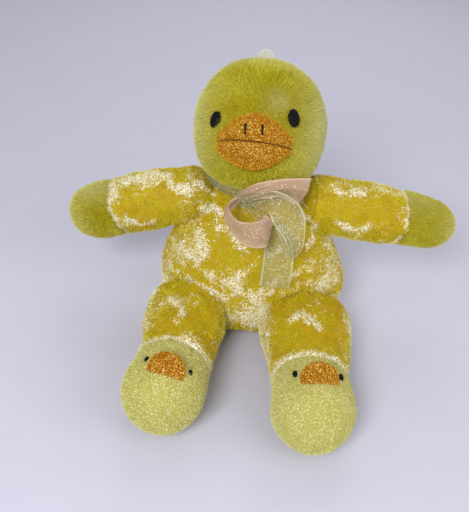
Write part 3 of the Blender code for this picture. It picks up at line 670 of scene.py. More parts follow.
def loft(name: str, rows: Sequence[Row], frame_at: FrameAt, sides: int) -> Thing:
    """A closed form through the rows, which start and end at a pole.

    Args:
        name: The object's name.
        rows: The rows.
        frame_at: Gives the ring's frame at a distance along the form.
        sides: How many points each ring has.

    Returns:
        The form.
    """
    bm = bmesh.new()
    poles = (frame_at(rows[0][0]).translation, frame_at(rows[-1][0]).translation)
    rings = [row for row in rows if row[1] > 0]
    first = ring = bmesh.ops.create_circle(bm, segments=sides, radius=1)["verts"]
    points: list[Vert] = []
    for index, (along, width, depth) in enumerate(rings):
        if index:
            edges = [bm.edges.get(pair) for pair in zip(ring, ring[1:] + ring[:1])]
            made = set(bmesh.ops.extrude_edge_only(bm, edges=edges)["geom"])
            ring = [next(e.other_vert(v) for e in v.link_edges if e.other_vert(v) in made)
                    for v in ring]
        place = frame_at(along)
        for k, vert in enumerate(ring):
            angle = math.tau * k / sides
            vert.co = place @ Vector((width * math.cos(angle), depth * math.sin(angle), 0))
        points += ring
    for end, pole in zip((first, ring), poles):
        face = bm.faces.new(end)
        points += bmesh.ops.poke(bm, faces=[face])["verts"]
        points[-1].co = pole
    bmesh.ops.recalc_face_normals(bm, faces=bm.faces)
    put_in_order(bm, points)
    return to_object(name, bm)


def settle(thing: Thing) -> Thing:
    """Apply an object's modifiers.

    Args:
        thing: The object.

    Returns:
        The same object with its evaluated mesh.
    """
    shown = thing.evaluated_get(bpy.context.evaluated_depsgraph_get())
    mesh = bpy.data.meshes.new_from_object(shown)
    old = thing.data
    thing.modifiers.clear()
    thing.data = mesh
    bpy.data.meshes.remove(old)
    mesh.shade_smooth()
    return thing


def subdivide(thing: Thing) -> Thing:
    """Round a form off with a subdivision surface, applied.

    Args:
        thing: The form.

    Returns:
        The same object.
    """
    step = thing.modifiers.new("round", "SUBSURF")
    step.levels = step.render_levels = 1
    return settle(thing)


def cut(target: Thing, cutters: Sequence[Thing]) -> None:
    """Cut the target by each cutter and drop the cutters.

    Args:
        target: The form that is cut.
        cutters: The forms that cut it.
    """
    for cutter in cutters:
        step = target.modifiers.new("cut", "BOOLEAN")
        step.operation, step.solver, step.object = "DIFFERENCE", "EXACT", cutter
    settle(target)
    for cutter in cutters:
        bpy.data.objects.remove(cutter, do_unlink=True)


def push(thing: Thing, depth: Callable[[Vector], float]) -> None:
    """Move each point of a form along its normal.

    Args:
        thing: The form.
        depth: How far the point at a place moves out.
    """
    normals = [vert.normal.copy() for vert in thing.data.vertices]
    for vert, normal in zip(thing.data.vertices, normals):
        vert.co += normal * depth(vert.co)
    thing.data.update()


@dataclass(frozen=True)
class Lumps:
    """Low lumps of a filling: how far they reach, how wide they are and where they start."""

    depth: float
    size: float
    seed: float


def soften(thing: Thing, lumps: Sequence[Lumps], shift: float = 0.0) -> None:
    """Give a stuffed form the low lumps of its filling.

    Args:
        thing: The form.
        lumps: Its lumps, the wide ones first.
        shift: What is added to their seeds.
    """
    for each in lumps:
        seed = each.seed + shift
        start = Vector((seed, seed * 2, seed * 3))
        push(thing, lambda spot: noise.noise(spot / each.size + start) * each.depth)


def ahead_by(distance: float) -> Matrix:
    """A move along +Z."""
    return Matrix.Translation((0, 0, distance))


def frame_from(origin: Vector, ahead: Vector, across: Vector) -> Matrix:
    """A frame at a point with +Z ahead and +X as near across as it can be.

    Args:
        origin: The point.
        ahead: The way of +Z.
        across: The way near +X.

    Returns:
        The frame.
    """
    z = Vector(ahead).normalized()
    y = z.cross(Vector(across)).normalized()
    placed = Matrix((y.cross(z), y, z)).transposed().to_4x4()
    placed.translation = origin
    return placed


def keep_value(thing: Thing, name: str, values: Sequence[float]) -> None:
    """Keep a number at each point of a mesh, for its material or its strands."""
    layer = thing.data.attributes.new(name, "FLOAT", "POINT")
    layer.data.foreach_set("value", list(values))


def keep_vector(thing: Thing, name: str, values: Sequence[Vector]) -> None:
    """Keep a vector at each point of a mesh."""
    layer = thing.data.attributes.new(name, "FLOAT_VECTOR", "POINT")
    layer.data.foreach_set("vector", [part for vector in values for part in vector])


# Strands


@dataclass(frozen=True)
class Strands:
    """The strands that stand on a fabric, scattered by geometry nodes."""

    per_mm2: float
    length: float
    width: float
    rise: float
    lean: float
    tangle: float
    fray: float
    tuft: float
    curl: float = 0.22
    least: float = 0.65
    most: float = 1.15
    seed: int = 1

    def blade(self) -> Thing:
        """One tapered strand, upright on the origin, with its tip value.

        Returns:
            The strand.
        """
        bm = bmesh.new()
        start = [bm.verts.new((side * self.width / 2, 0, 0)) for side in (-1, 1)]
        edge = bm.edges.new(start)
        for share, narrow in ((0.5, 0.85), (1.0, 0.0)):
            made = bmesh.ops.extrude_edge_only(bm, edges=[edge])["geom"]
            edge = next(item for item in made if isinstance(item, bmesh.types.BMEdge))
            for vert in edge.verts:
                side = math.copysign(1.0, vert.co.x)
                vert.co = (side * narrow * self.width / 2, share**2 * self.length * self.curl,
                           share * self.length)
        bmesh.ops.remove_doubles(bm, verts=bm.verts, dist=1e-7)
        thing = to_object("strand", bm)
        heights = [vert.co.z / self.length for vert in thing.data.vertices]
        keep_value(thing, "tip", heights)
        return thing

    def tree(self, blade: Thing) -> bpy.types.NodeTree:
        """The geometry nodes that scatter the blade over a mesh.

        Args:
            blade: The strand to scatter.

        Returns:
            The node group.
        """
        tree = bpy.data.node_groups.new("strands", "GeometryNodeTree")
        for way in ("INPUT", "OUTPUT"):
            tree.interface.new_socket("Mesh", in_out=way, socket_type="NodeSocketGeometry")

        def add(kind: str, settings: dict, inputs: dict) -> bpy.types.Node:
            """Add one node with its settings, values and links.

            Args:
                kind: The node's type.
                settings: Its properties.
                inputs: Its sockets' values or links, by name or place.

            Returns:
                The node.
            """
            made = tree.nodes.new(kind)
            for key, value in settings.items():
                setattr(made, key, value)
            for key, value in inputs.items():
                if isinstance(value, bpy.types.NodeSocket):
                    tree.links.new(value, made.inputs[key])
                else:
                    made.inputs[key].default_value = value
            return made

        def kept(name: str, kind: str) -> bpy.types.NodeSocket:
            """A value that the mesh keeps at its points."""
            settings = {"data_type": kind}
            return add("GeometryNodeInputNamedAttribute", settings, {"Name": name}).outputs[0]

        def scaled(vector: bpy.types.NodeSocket, by: float) -> bpy.types.NodeSocket:
            """A vector times a number."""
            return add("ShaderNodeVectorMath", {"operation": "SCALE"},
                       {"Vector": vector, "Scale": by}).outputs[0]

        def plus(one: bpy.types.NodeSocket, two: bpy.types.NodeSocket) -> bpy.types.NodeSocket:
            """The sum of two vectors."""
            return add("ShaderNodeVectorMath", {"operation": "ADD"}, {0: one, 1: two}).outputs[0]

        entry = add("NodeGroupInput", {}, {})
        full = add("ShaderNodeMath", {"operation": "MULTIPLY_ADD"},
                   {0: kept("bald", "FLOAT"), 1: -self.per_mm2 / MM**2,
                    2: self.per_mm2 / MM**2})
        points = add("GeometryNodeDistributePointsOnFaces", {},
                     {"Mesh": entry.outputs[0], "Density": full.outputs[0], "Seed": self.seed})
        place = add("GeometryNodeInputPosition", {}, {})
        clouds = add("ShaderNodeTexNoise", {},
                     {"Vector": place.outputs[0], "Scale": 1 / self.tuft, "Detail": 1.0})
        swirl = add("ShaderNodeVectorMath", {"operation": "SUBTRACT"},
                    {0: clouds.outputs["Color"], 1: (0.5, 0.5, 0.5)})
        loose = add("FunctionNodeRandomValue", {"data_type": "FLOAT_VECTOR"},
                    {0: (-1.0, -1.0, -1.0), 1: (1.0, 1.0, 1.0), "Seed": self.seed + 1})
        heading = plus(scaled(points.outputs["Normal"], self.rise),
                       scaled(kept("lay", "FLOAT_VECTOR"), self.lean))
        heading = plus(heading, scaled(swirl.outputs[0], self.tangle))
        heading = plus(heading, scaled(loose.outputs[0], self.fray))
        spin = add("FunctionNodeRandomValue", {"data_type": "FLOAT"},
                   {2: 0.0, 3: math.tau, "Seed": self.seed + 2})
        turned = add("ShaderNodeCombineXYZ", {}, {"Z": spin.outputs[1]})
        euler = add("FunctionNodeEulerToRotation", {}, {0: turned.outputs[0]})
        aimed = add("FunctionNodeAlignRotationToVector", {"axis": "Z"},
                    {"Rotation": euler.outputs[0], "Vector": heading})
        size = add("FunctionNodeRandomValue", {"data_type": "FLOAT"},
                   {2: self.least, 3: self.most, "Seed": self.seed + 3})
        source = add("GeometryNodeObjectInfo", {}, {"Object": blade})
        placed = add("GeometryNodeInstanceOnPoints", {},
                     {"Points": points.outputs["Points"], "Instance": source.outputs["Geometry"],
                      "Rotation": aimed.outputs[0], "Scale": size.outputs[1]})
        shade = add("FunctionNodeRandomValue", {"data_type": "FLOAT"},
                    {2: 0.0, 3: 1.0, "Seed": self.seed + 4})
        stored = add("GeometryNodeStoreNamedAttribute",
                     {"data_type": "FLOAT", "domain": "INSTANCE"},
                     {"Geometry": placed.outputs[0], "Name": "shade", "Value": shade.outputs[1]})
        real = add("GeometryNodeRealizeInstances", {}, {"Geometry": stored.outputs[0]})
        add("NodeGroupOutput", {}, {0: real.outputs[0]})
        return tree

    def grow(self, base: Thing, name: str) -> Thing:
        """Stand the strands on a base, which keeps its lay and bald values.

        Args:
            base: The fabric.
            name: The new piece's name.

        Returns:
            The strands as one mesh.
        """
        blade = self.blade()
        thing = base.copy()
        thing.data = base.data.copy()
        thing.name = thing.data.name = name
        bpy.context.scene.collection.objects.link(thing)
        step = thing.modifiers.new("strands", "NODES")
        step.node_group = self.tree(blade)
        settle(thing)
        thing.data.name = name
        bpy.data.node_groups.remove(bpy.data.node_groups["strands"])
        bpy.data.objects.remove(blade, do_unlink=True)
        return thing


HEAD_STRANDS = Strands(per_mm2=3.1, length=3.3 * MM, width=0.30 * MM, rise=0.85, lean=0.45,
                       tangle=1.0, fray=0.42, tuft=8 * MM)
HAND_STRANDS = Strands(per_mm2=3.4, length=3.2 * MM, width=0.30 * MM, rise=0.85, lean=0.5,
                       tangle=1.0, fray=0.42, tuft=7 * MM)
NAP_STRANDS = Strands(per_mm2=1.5, length=2.1 * MM, width=0.34 * MM, rise=0.62, lean=0.25,
                      tangle=2.6, fray=0.35, tuft=6 * MM)
LOOP_STRANDS = Strands(per_mm2=3.0, length=1.1 * MM, width=0.42 * MM, rise=1.0, lean=0.1,
                       tangle=0.8, fray=0.6, tuft=2 * MM)


def dress(base: Thing, name: str, strands: Strands, finish: object,
          lay: Callable[[Vector, Vector], Vector], bald: Callable[[Vector], float],
          edge: Callable[[Vector], float] | None = None) -> Thing:
    """Give a fabric its finish and stand its strands on it.

    Args:
        base: The fabric, in its final shape.
        name: The name of the piece of strands.
        strands: The strands.
        finish: The finish of both.
        lay: Which way a strand leans, from its point and the fabric's normal there.
        bald: 1 where no strand stands, 0 where they are dense.
        edge: How pale the painted sheen makes the fabric there, from 0 to 1.

    Returns:
        The piece of strands.
    """
    points = base.data.vertices
    keep_vector(base, "lay", [lay(v.co, v.normal) for v in points])
    keep_value(base, "bald", [bald(v.co) for v in points])
    # The edge value carries painted sheen.
    if edge:
        keep_value(base, "edge", [edge(v.co) for v in points])
    grown = strands.grow(base, name)
    FINISHES.wear(base, finish)
    FINISHES.wear(grown, finish)
    log.info("%s: %d points of fabric, %d faces of strands", name, len(points),
             len(grown.data.polygons))
    return grown


def along_fabric(way: Vector, normal: Vector) -> Vector:
    """The way along the fabric that is nearest to the given way."""
    return (way - normal * way.dot(normal)).normalized()


def downwards(point: Vector, normal: Vector) -> Vector:
    """The way down along the fabric."""
    return along_fabric(Vector((0, 0, -1)), normal)


def nothing_bald(point: Vector) -> float:
    """Bald only where the fabric rests on the floor."""
    return 1.0 if point.z < REST_HEIGHT else 0.0


def bell(value: float) -> float:
    """A bell curve, 1 at 0."""
    return math.exp(-(value**2))


def press_on_floor(thing: Thing) -> None:
    """Flatten what lies below the floor."""
    for vert in thing.data.vertices:
        vert.co.z = max(vert.co.z, 0.0)


def press(thing: Thing, plane: Matrix) -> None:
    """Flatten what lies below a plane.

    Args:
        thing: The form.
        plane: A frame whose XY plane it is, +Z on the side that stays.
    """
    back = plane.inverted()
    for vert in thing.data.vertices:
        near = back @ vert.co
        near.z = max(near.z, 0.0)
        vert.co = plane @ near


CREASES: tuple[tuple[Triple, ...], ...] = (
    ((-61, -10, 51), (-46, -23, 49), (-16, -34, 46)),
    ((-50, -11, 71), (-41, -20, 68), (-31, -27, 61), (-23, -30, 56)),
    ((-24, -15, 95), (-12, -21, 90), (-3, -26, 81)),
    ((21, -22, 85), (11, -26, 78), (0, -30, 68), (-11, -32, 57)),
    ((59, -11, 66), (44, -20, 69), (33, -27, 64), (17, -32, 56), (4, -35, 48)),
    ((70, -8, 47), (53, -20, 56), (40, -27, 55), (30, -31, 51)),
    ((-13, -32, 57), (-6, -34, 50), (-10, -35, 41)),
    ((5, -36, 45), (-1, -36, 38), (-12, -36, 34), (8, -37, 30)),
    ((-45, -26, 49), (-27, -34, 47), (-11, -35, 41)),
    ((5, -36, 42), (17, -34, 51), (32, -31, 51), (59, -18, 50)),
    ((-55, -50, 49), (-44, -63, 51), (-48, -74, 51)),
    ((32, -62, 48), (39, -56, 51), (54, -69, 50)),
    ((-66, 14, 117), (-62, 5, 115), (-58, 1, 113), (-49, 0, 115)),
    ((-42, 4, 117), (-36, 4, 114), (-30, 2, 111)),
    ((-97, 15, 106), (-85, 17, 111), (-73, 20, 114)),
    ((-94, 0, 82), (-82, -1, 81), (-74, -3, 87)),
    ((-36, -3, 100), (-29, -5, 104), (-22, -11, 102)),
    ((55, 10, 120), (66, 5, 116), (78, 10, 117)),
    ((63, -5, 99), (75, -3, 92), (86, -3, 95)),
    ((38, -3, 101), (47, -5, 98), (45, -8, 87), (43, -14, 82)),
    ((-38, -13, 86), (-33, -20, 78), (-34, -24, 66)),
    ((-20, 40, 70), (5, 44, 62), (30, 38, 68)),
    ((-45, 28, 45), (-15, 42, 38), (20, 43, 45)),
)
# Folds of the crushed velour, in millimetres, where its nap stands up and shines, the shine
# painted as sheen in its colour.
"""Folds of the crushed velour, in millimetres, where its nap stands up and shines."""
FOLDS = [(Vector(first), Vector(second)) for line in CREASES
         for first, second in zip(line, line[1:])]
FOLD_SEED = 7
"""Starts the noise that lets a fold stray, which would otherwise start from the clock."""
FOLD_STRAY = 2.2
"""How far a fold strays from its line, in millimetres."""
FOLD_SWAY = 5
"""How long its bends are, in millimetres."""


def on_crease(point: Vector, width: float) -> float:
    """How near a point lies to a fold of the velour.

    Args:
        point: The point.
        width: How far a fold's shine reaches.

    Returns:
        A share from 0 to 1.
    """
    spot = point / MM
    spot = spot + noise.noise_vector(spot / FOLD_SWAY) * FOLD_STRAY
    least = math.inf
    for first, second in FOLDS:
        _, share = intersect_point_line(spot, first, second)
        near = first.lerp(second, min(max(share, 0.0), 1.0))
        least = min(least, (spot - near).length)
    return bell(least * MM / width)


def crease(thing: Thing, height: float) -> None:
    """Raise a velour cover along its folds to a height."""
    push(thing, lambda spot: height * on_crease(spot, FOLD_REACH))


def groove(thing: Thing, plane: Matrix, depth: float, width: float) -> None:
    """Pull a form in along a seam, the XY plane of a frame, as far as a width each side."""
    back = plane.inverted()
    push(thing, lambda spot: -depth * bell((back @ spot).z / width))


def join(name: str, parts: Sequence[Thing]) -> Thing:
    """Put several forms into one object.

    Args:
        name: The object's name.
        parts: The forms, which it takes the place of.

    Returns:
        The object.
    """
    bm = bmesh.new()
    for part in parts:
        bm.from_mesh(part.data)
        bpy.data.objects.remove(part, do_unlink=True)
    return to_object(name, bm)


@dataclass(frozen=True)
class Stuffing:
    """Fibre that swells a sewn cover, as cloth under pressure that is held at its seams."""

    pressure: float = 4.0
    slack: float = 0.02
    inset: float = 0.5 * MM
    cap: float = 2.0 * MM
    frames: int = 20
    enlarged: float = 8.0
    quality: int = 6
    stiffness: float = 0.1

    def swell(self, cover: Thing, held: Callable[[Vector], float]) -> None:
        """Run the cloth and keep its result, each point's way capped.

        Args:
            cover: The cover, from pole to pole.
            held: How firmly the cover is held there, 1 on a seam.
        """
        push(cover, lambda spot: -self.inset)
        before = [vert.co.copy() for vert in cover.data.vertices]
        seams = cover.vertex_groups.new(name="seams")
        for vert in cover.data.vertices:
            seams.add([vert.index], held(vert.co), "REPLACE")
        cover.data.transform(Matrix.Scale(self.enlarged, 4))
        cloth = cover.modifiers.new("cloth", "CLOTH")
        cloth.collision_settings.use_collision = False
        made = cloth.settings
        made.quality = self.quality
        made.bending_stiffness = self.stiffness
        made.shrink_min = -self.slack
        made.use_pressure = True
        made.uniform_pressure_force = self.pressure
        made.vertex_group_mass = seams.name
        made.effector_weights.gravity = 0.0
        for step in range(1, self.frames + 1):
            bpy.context.scene.frame_set(step)
        settle(cover)
        bpy.context.scene.frame_set(1)
        cover.vertex_groups.clear()
        cover.data.transform(Matrix.Scale(1 / self.enlarged, 4))
        moved = 0.0
        for vert, place in zip(cover.data.vertices, before):
            way = vert.co - place
            moved = max(moved, way.length)
            vert.co = place + way * min(self.cap / max(way.length, 1e-9), 1.0)
        log.info("%s: the stuffing moved it %.1f mm at most", cover.name, moved / MM)


STUFFING = Stuffing()


def thread(name: str, points: Sequence[Vector], radius: float, up: Vector) -> Thing:
    """A round thread along a line of points.

    Args:
        name: The object's name.
        points: The line.
        radius: The thread's radius.
        up: The way the line's surface faces.

    Returns:
        The thread.
    """
    last = len(points) - 1

    def frame_at(along: float) -> Matrix:
        """The thread's frame at a place along its points."""
        index = min(max(round(along), 0), last)
        return frame_from(points[index], points[min(index + 1, last)] - points[max(index - 1, 0)],
                          up)

    rows = [(float(k), radius, radius) for k in range(last + 1)]
    return loft(name, [(0.0, 0.0, 0.0), *rows, (float(last), 0.0, 0.0)], frame_at, THREAD_SIDES)


@dataclass
class SatinPatch:
    """An oval of satin stitches laid side by side over a low pad."""

    name: str
    spot: Matrix
    width: float
    height: float
    rise: float
    stitches: int
    slant: float = 0.12
    pad: float = 0.97
    pad_rise: float = 0.93
    overlap: float = 0.62
    half_steps: int = 6
    uneven: float = 0.05

    def build(self) -> Thing:
        """Lay the stitches and the pad under them.

        Returns:
            The patch.
        """
        bm = bmesh.new()
        radii = (self.width / 2 * self.pad, self.height / 2 * self.pad,
                 self.rise * self.pad_rise)
        shape = self.spot @ Matrix.Diagonal((*radii, 1))
        bmesh.ops.create_uvsphere(bm, u_segments=32, v_segments=16, radius=1, matrix=shape)
        parts = [to_object("pad", bm)]
        radius = self.height / self.stitches * self.overlap
        for k in range(self.stitches):
            y = ((k + 0.5) / self.stitches * 2 - 1) * self.pad
            half = math.sqrt(1 - y * y)
            line = []
            for step in range(2 * self.half_steps + 1):
                x = (step / self.half_steps - 1) * half * (1 + self.uneven * ((k * 7) % 3 - 1))
                z = math.sqrt(max(1 - min(x * x, 1) - y * y, 0))
                local = (x * self.width / 2, (y + x * self.slant) * self.height / 2,
                         z * self.rise)
                line.append(self.spot @ Vector(local))
            parts.append(thread("stitch", line, radius, self.spot.col[2].to_3d()))
        return join(self.name, parts)


# Torso


@dataclass
class Torso:
    """The velour body with its tail; it carries the neck and the limbs."""

    length: float = 118 * MM
    width: float = 144 * MM
    depth: float = 84 * MM
    lean: float = math.radians(8)
    slump: float = 5.5 * MM
    neck: float = 26 * MM
    press: float = 0.5 * MM
    sides: int = 56
    tail_length: float = 26 * MM
    tail_radius: float = 13 * MM
    tail_height: float = 34 * MM
    tail_rise: float = math.radians(28)
    shares: tuple[Row, ...] = (
        (0.001, 0.42, 0.40, 0.0),
        (0.020, 0.69, 0.67, 0.0),
        (0.060, 0.86, 0.85, 0.0),
        (0.130, 0.95, 0.94, 0.0),
        (0.240, 1.00, 0.99, 0.0),
        (0.380, 1.00, 1.00, 0.0),
        (0.550, 0.910, 0.95, 0.0),
        (0.710, 0.77, 0.86, 0.0),
        (0.850, 0.57, 0.73, 0.0),
        (0.940, 0.33, 0.43, 0.38),
        (1.000, 0.0, 0.0, 1.0),
    )
    tail_sides: int = 24
    tail_shares: tuple[Row, ...] = ((0.0, 1.0), (0.35, 0.92), (0.65, 0.70), (0.88, 0.40),
                                    (0.97, 0.18))
    tail_sink: float = 2.5 * MM
    tail_cap: float = 1 * MM
    neck_grip: float = 3 * MM
    seat_grip: float = 1 * MM
    neck_gap: float = 0.3 * MM
    band_reach: float = 2.5 * MM
    crotch: float = 30 * MM
    crotch_reach: float = 13 * MM
    fold_height: float = 1.1 * MM
    lumps: tuple[Lumps, ...] = (Lumps(1.6 * MM, 26 * MM, 2.0), Lumps(0.7 * MM, 9 * MM, 5.0))
    tail_lumps: tuple[Lumps, ...] = (Lumps(0.7 * MM, 10 * MM, 8.0),)

    def rows(self) -> list[Row]:
        """The body's rows, from the seat to the neck."""
        made = [(a * self.length, w * self.width / 2 + n * self.neck,
                 d * self.depth / 2 + n * self.neck) for a, w, d, n in self.shares]
        return [(-self.press, 0.0, 0.0), *made]

    def frame_at(self, along: float) -> Matrix:
        """The ring's frame: level at the seat, where it slumps aside, square to the neck.

        Args:
            along: The distance along the form.

        Returns:
            The frame.
        """
        share = min(max(along / self.length, 0), 1)
        axis = Vector((0, math.sin(self.lean), math.cos(self.lean)))
        point = axis * along + Vector((self.slump * (1 - share), 0, 0))
        return Matrix.Translation(point) @ Matrix.Rotation(-self.lean * share, 4, "X")

    def neck_frame(self) -> Matrix:
        """The frame of the neck's ring."""
        return self.frame_at(self.length)

    def chest_front(self, x: float, z: float) -> float:
        """How far forward the body reaches at a place seen from the front.

        Args:
            x: The place's X.
            z: Its height.

        Returns:
            The Y of the body's front.
        """
        along = z / math.cos(self.lean)
        _, width, depth = row_at(self.rows(), along)
        centre = self.frame_at(min(along, self.length)).translation
        return centre.y - depth * math.sqrt(max(1 - ((x - centre.x) / width) ** 2, 0))

    def build(self, spaces: Sequence[Thing]) -> None:
        """Make the cover with a seat for each limb, its nap, and the tail.

        Args:
            spaces: The limbs' forms, a little grown.
        """
        rows = smooth_rows(self.rows(), ROW_STEPS)
        rows.append((self.length, 0.0, 0.0))
        cover = subdivide(loft("torso_cover", rows, self.frame_at, self.sides))
        top = self.neck_frame().inverted()
        STUFFING.swell(cover, lambda spot: float((top @ spot).z > -self.neck_grip
                                                 or spot.z < self.seat_grip))
        soften(cover, self.lumps)
        crease(cover, self.fold_height)
        press_on_floor(cover)
        below = ahead_by(-self.neck_gap) @ Matrix.Rotation(math.pi, 4, "X")
        press(cover, self.neck_frame() @ below)
        cut(cover, spaces)

        def bald(point: Vector) -> float:
            """No nap under the seat or inside the neck band."""
            under_band = (top @ point).z > -self.band_reach
            return 1.0 if point.z < REST_HEIGHT or under_band else 0.0

        def edge(point: Vector) -> float:
            """Painted sheen: bright on its folds, at the flanks and low on the front.

            Args:
                point: The point.

            Returns:
                A share from 0 to 1.
            """
            flank = min(abs(point.x) / (self.width * 0.49), 1.0) ** 4
            low = bell((point.z - self.crotch) / self.crotch_reach)
            crotch = low if point.y < 0 else 0.0
            return max(on_crease(point, SHINE_REACH), flank * 0.6, crotch * 0.75)

        nap = dress(cover, "torso_nap", NAP_STRANDS, VELOUR, downwards, bald, edge)
        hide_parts("body_cover", "body_stuffing")
        for piece in (cover, nap):
            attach(piece, "torso")
        self.build_tail()

    def build_tail(self) -> None:
        """Make the stuffed tail behind the body."""
        _, _, depth = row_at(self.rows(), self.tail_height)
        centre = self.frame_at(self.tail_height).translation
        ahead = Vector((0, math.cos(self.tail_rise), math.sin(self.tail_rise)))
        root = centre + Vector((0, depth - self.tail_sink, 0))
        base = frame_from(root, ahead, Vector((1, 0, 0)))
        rows = [(a * self.tail_length, w * self.tail_radius, w * self.tail_radius)
                for a, w in self.tail_shares]
        ends = [(-self.tail_cap, 0.0, 0.0), *smooth_rows(rows, 3), (self.tail_length, 0.0, 0.0)]
        cover = subdivide(loft("tail_cover", ends, lambda along: base @ ahead_by(along),
                               self.tail_sides))
        soften(cover, self.tail_lumps)
        nap = dress(cover, "tail_nap", NAP_STRANDS, VELOUR, downwards, nothing_bald)
        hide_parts("tail")
        for piece in (cover, nap):
            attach(piece, "torso")


# Head


@dataclass
class Head:
    """The pile head with its eyes, tab and padded bill."""

    torso: Torso
    height: float = 87 * MM
    width: float = 92.5 * MM
    depth: float = 90 * MM
    centre: float = 40.5 * MM
    seam_back: float = 18 * MM
    turn: float = math.radians(-6)
    tilt: float = math.radians(-4.25)
    sink: float = 0.8 * MM
    sides: int = 56
    shares: tuple[Row, ...] = (
        (0.00, 0.0, 1.0),
        (0.06, 0.735, 0.0),
        (0.15, 0.880, 0.0),
        (0.28, 0.968, 0.0),
        (0.42, 1.000, 0.0),
        (0.56, 0.983, 0.0),
        (0.70, 0.893, 0.0),
        (0.82, 0.738, 0.0),
        (0.91, 0.555, 0.0),
        (0.972, 0.322, 0.0),
        (1.00, 0.0, 0.0),
    )
    eye_width: float = 8 * MM
    eye_height: float = 11.5 * MM
    eye_rise: float = 2.4 * MM
    eye_turn: float = math.radians(37)
    eye_pitch: float = math.radians(21)
    eye_uneven: float = math.radians(1.7)
    eye_lean: float = math.radians(8)
    tab_width: float = 14 * MM
    tab_rise: float = 8 * MM
    tab_thickness: float = 1.2 * MM
    seam_depth: float = 2.2 * MM
    seam_reach: float = 2.2 * MM
    neck_gap: float = 0.1 * MM
    band_reach: float = 6.5 * MM
    eye_stitches: int = 22
    eye_inset: float = 0.8 * MM
    eye_sink: float = 5 * MM
    parting: float = 1.0 * MM
    whorl: float = 6 * MM
    patch: Triple = (15 * MM, -32 * MM, 28 * MM)
    patch_reach: float = 8 * MM
    lumps: tuple[Lumps, ...] = (Lumps(0.9 * MM, 24 * MM, 11.0),)

    def rows(self) -> list[Row]:
        """The head's rows, from the neck to the crown."""
        return [(a * self.height, w * self.width / 2 + n * self.torso.neck,
                 w * self.depth / 2 + n * self.torso.neck) for a, w, n in self.shares]

    def frame_at(self, along: float) -> Matrix:
        """The head's ring frame."""
        return self.torso.neck_frame() @ ahead_by(along)

    def face(self) -> Matrix:
        """Centre of the head with -Y to the front of the face."""
        turn = Matrix.Rotation(self.turn, 4, "Z") @ Matrix.Rotation(self.tilt, 4, "Y")
        return self.frame_at(self.centre) @ turn

    def on_surface(self, turn: float, pitch: float) -> Matrix:
        """A frame on the head's surface, +Z outwards and +X across the face.

        Args:
            turn: The angle to the side.
            pitch: The angle upwards.

        Returns:
            The frame.
        """
        ray = Vector((math.sin(turn), -math.cos(turn), math.tan(pitch))).normalized()
        radii = (self.width / 2, self.depth / 2, self.height - self.centre)
        reach = 1 / math.sqrt(sum((p / r) ** 2 for p, r in zip(ray, radii)))
        point = ray * reach
        normal = Vector([p / r**2 for p, r in zip(point, radii)])
        across = Vector((math.cos(turn), math.sin(turn), 0))
        return self.face() @ frame_from(point, normal, across)

    def seam(self) -> Matrix:
        """The plane between the face panel and the back panel, its XY plane in the seam."""
        middle = self.frame_at(self.centre) @ Matrix.Translation((0, self.seam_back, 0))
        return middle @ Matrix.Rotation(math.pi / 2, 4, "X")

    def build(self) -> None:
        """Make the cover with its pile, the eyes, the tab and the bill."""
        rows = grown_rows(smooth_rows(self.rows(), ROW_STEPS), -self.sink)
        cover = subdivide(loft("head_cover", [(0.0, 0.0, 0.0), *rows], self.frame_at, self.sides))
        groove(cover, self.seam(), self.seam_depth, self.seam_reach)
        soften(cover, self.lumps)
        press(cover, self.frame_at(self.neck_gap))
        bill = Bill(self)
        bill.build(cover)
        spots = [(self.on_surface(sign * self.eye_turn, self.eye_pitch + sign * self.eye_uneven),
                  name) for sign, name in ((-1, "right"), (1, "left"))]
        backs = [spot.inverted() for spot, _ in spots]
        low = self.torso.neck_frame().inverted()
        seam = self.seam().inverted()
        face = self.face()
        into_face = face.inverted()

        def bald(point: Vector) -> float:
            """No pile under the bill, the eyes and the neck band, and less on the seam.

            Args:
                point: The point.

            Returns:
                A share from 0 to 1.
            """
            if (low @ point).z < self.band_reach or bill.covers(point):
                return 1.0
            for back in backs:
                near = back @ point
                inner = math.copysign(self.eye_inset, (seam @ point).x)
                far = Vector(((near.x - inner) / self.eye_width, near.y / self.eye_height))
                if far.length < 0.5 and near.z > -self.eye_sink:
                    return 1.0
            return 0.5 * bell((seam @ point).z / self.parting)

        def lay(point: Vector, normal: Vector) -> Vector:
            """Away from the middle of the face and a little down.

            Args:
                point: The point.
                normal: The fabric's normal there.

            Returns:
                The way.
            """
            near = into_face @ point
            away = Vector((near.x, 0.0, near.z + self.whorl)).normalized()
            away = (face.to_3x3() @ away) + Vector((0, 0, -0.5))
            return along_fabric(away, normal)

        def edge(point: Vector) -> float:
            """Painted sheen: paler at the sides and towards the back; one patch of the forehead is
            paler too.

            Args:
                point: The point.

            Returns:
                A share from 0 to 1.
            """
            near = into_face @ point
            side = min(abs(near.x) / (self.width * 0.47), 1.0) ** 4
            back = min(max(near.y / (self.depth * 0.3) + 0.5, 0.0), 1.0)
            patch = (near - Vector(self.patch)).length / self.patch_reach
            return max(side, back * 0.8, 0.5 * bell(patch))

        pile = dress(cover, "head_pile", HEAD_STRANDS, PILE, lay, bald, edge)
        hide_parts("head_front", "head_back", "head_stuffing")
        for piece in (cover, pile):
            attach(piece, "head")
        for spot, name in spots:
            lean = math.copysign(self.eye_lean, (seam @ spot.translation).x)
            eye = SatinPatch(f"eye_{name}_stitches", spot @ Matrix.Rotation(lean, 4, "Z"),
                             self.eye_width, self.eye_height, self.eye_rise,
                             self.eye_stitches).build()
            FINISHES.wear(eye, BLACK_THREAD)
            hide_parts(f"eye_{name}")
            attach(eye, "head")
        self.build_tab()

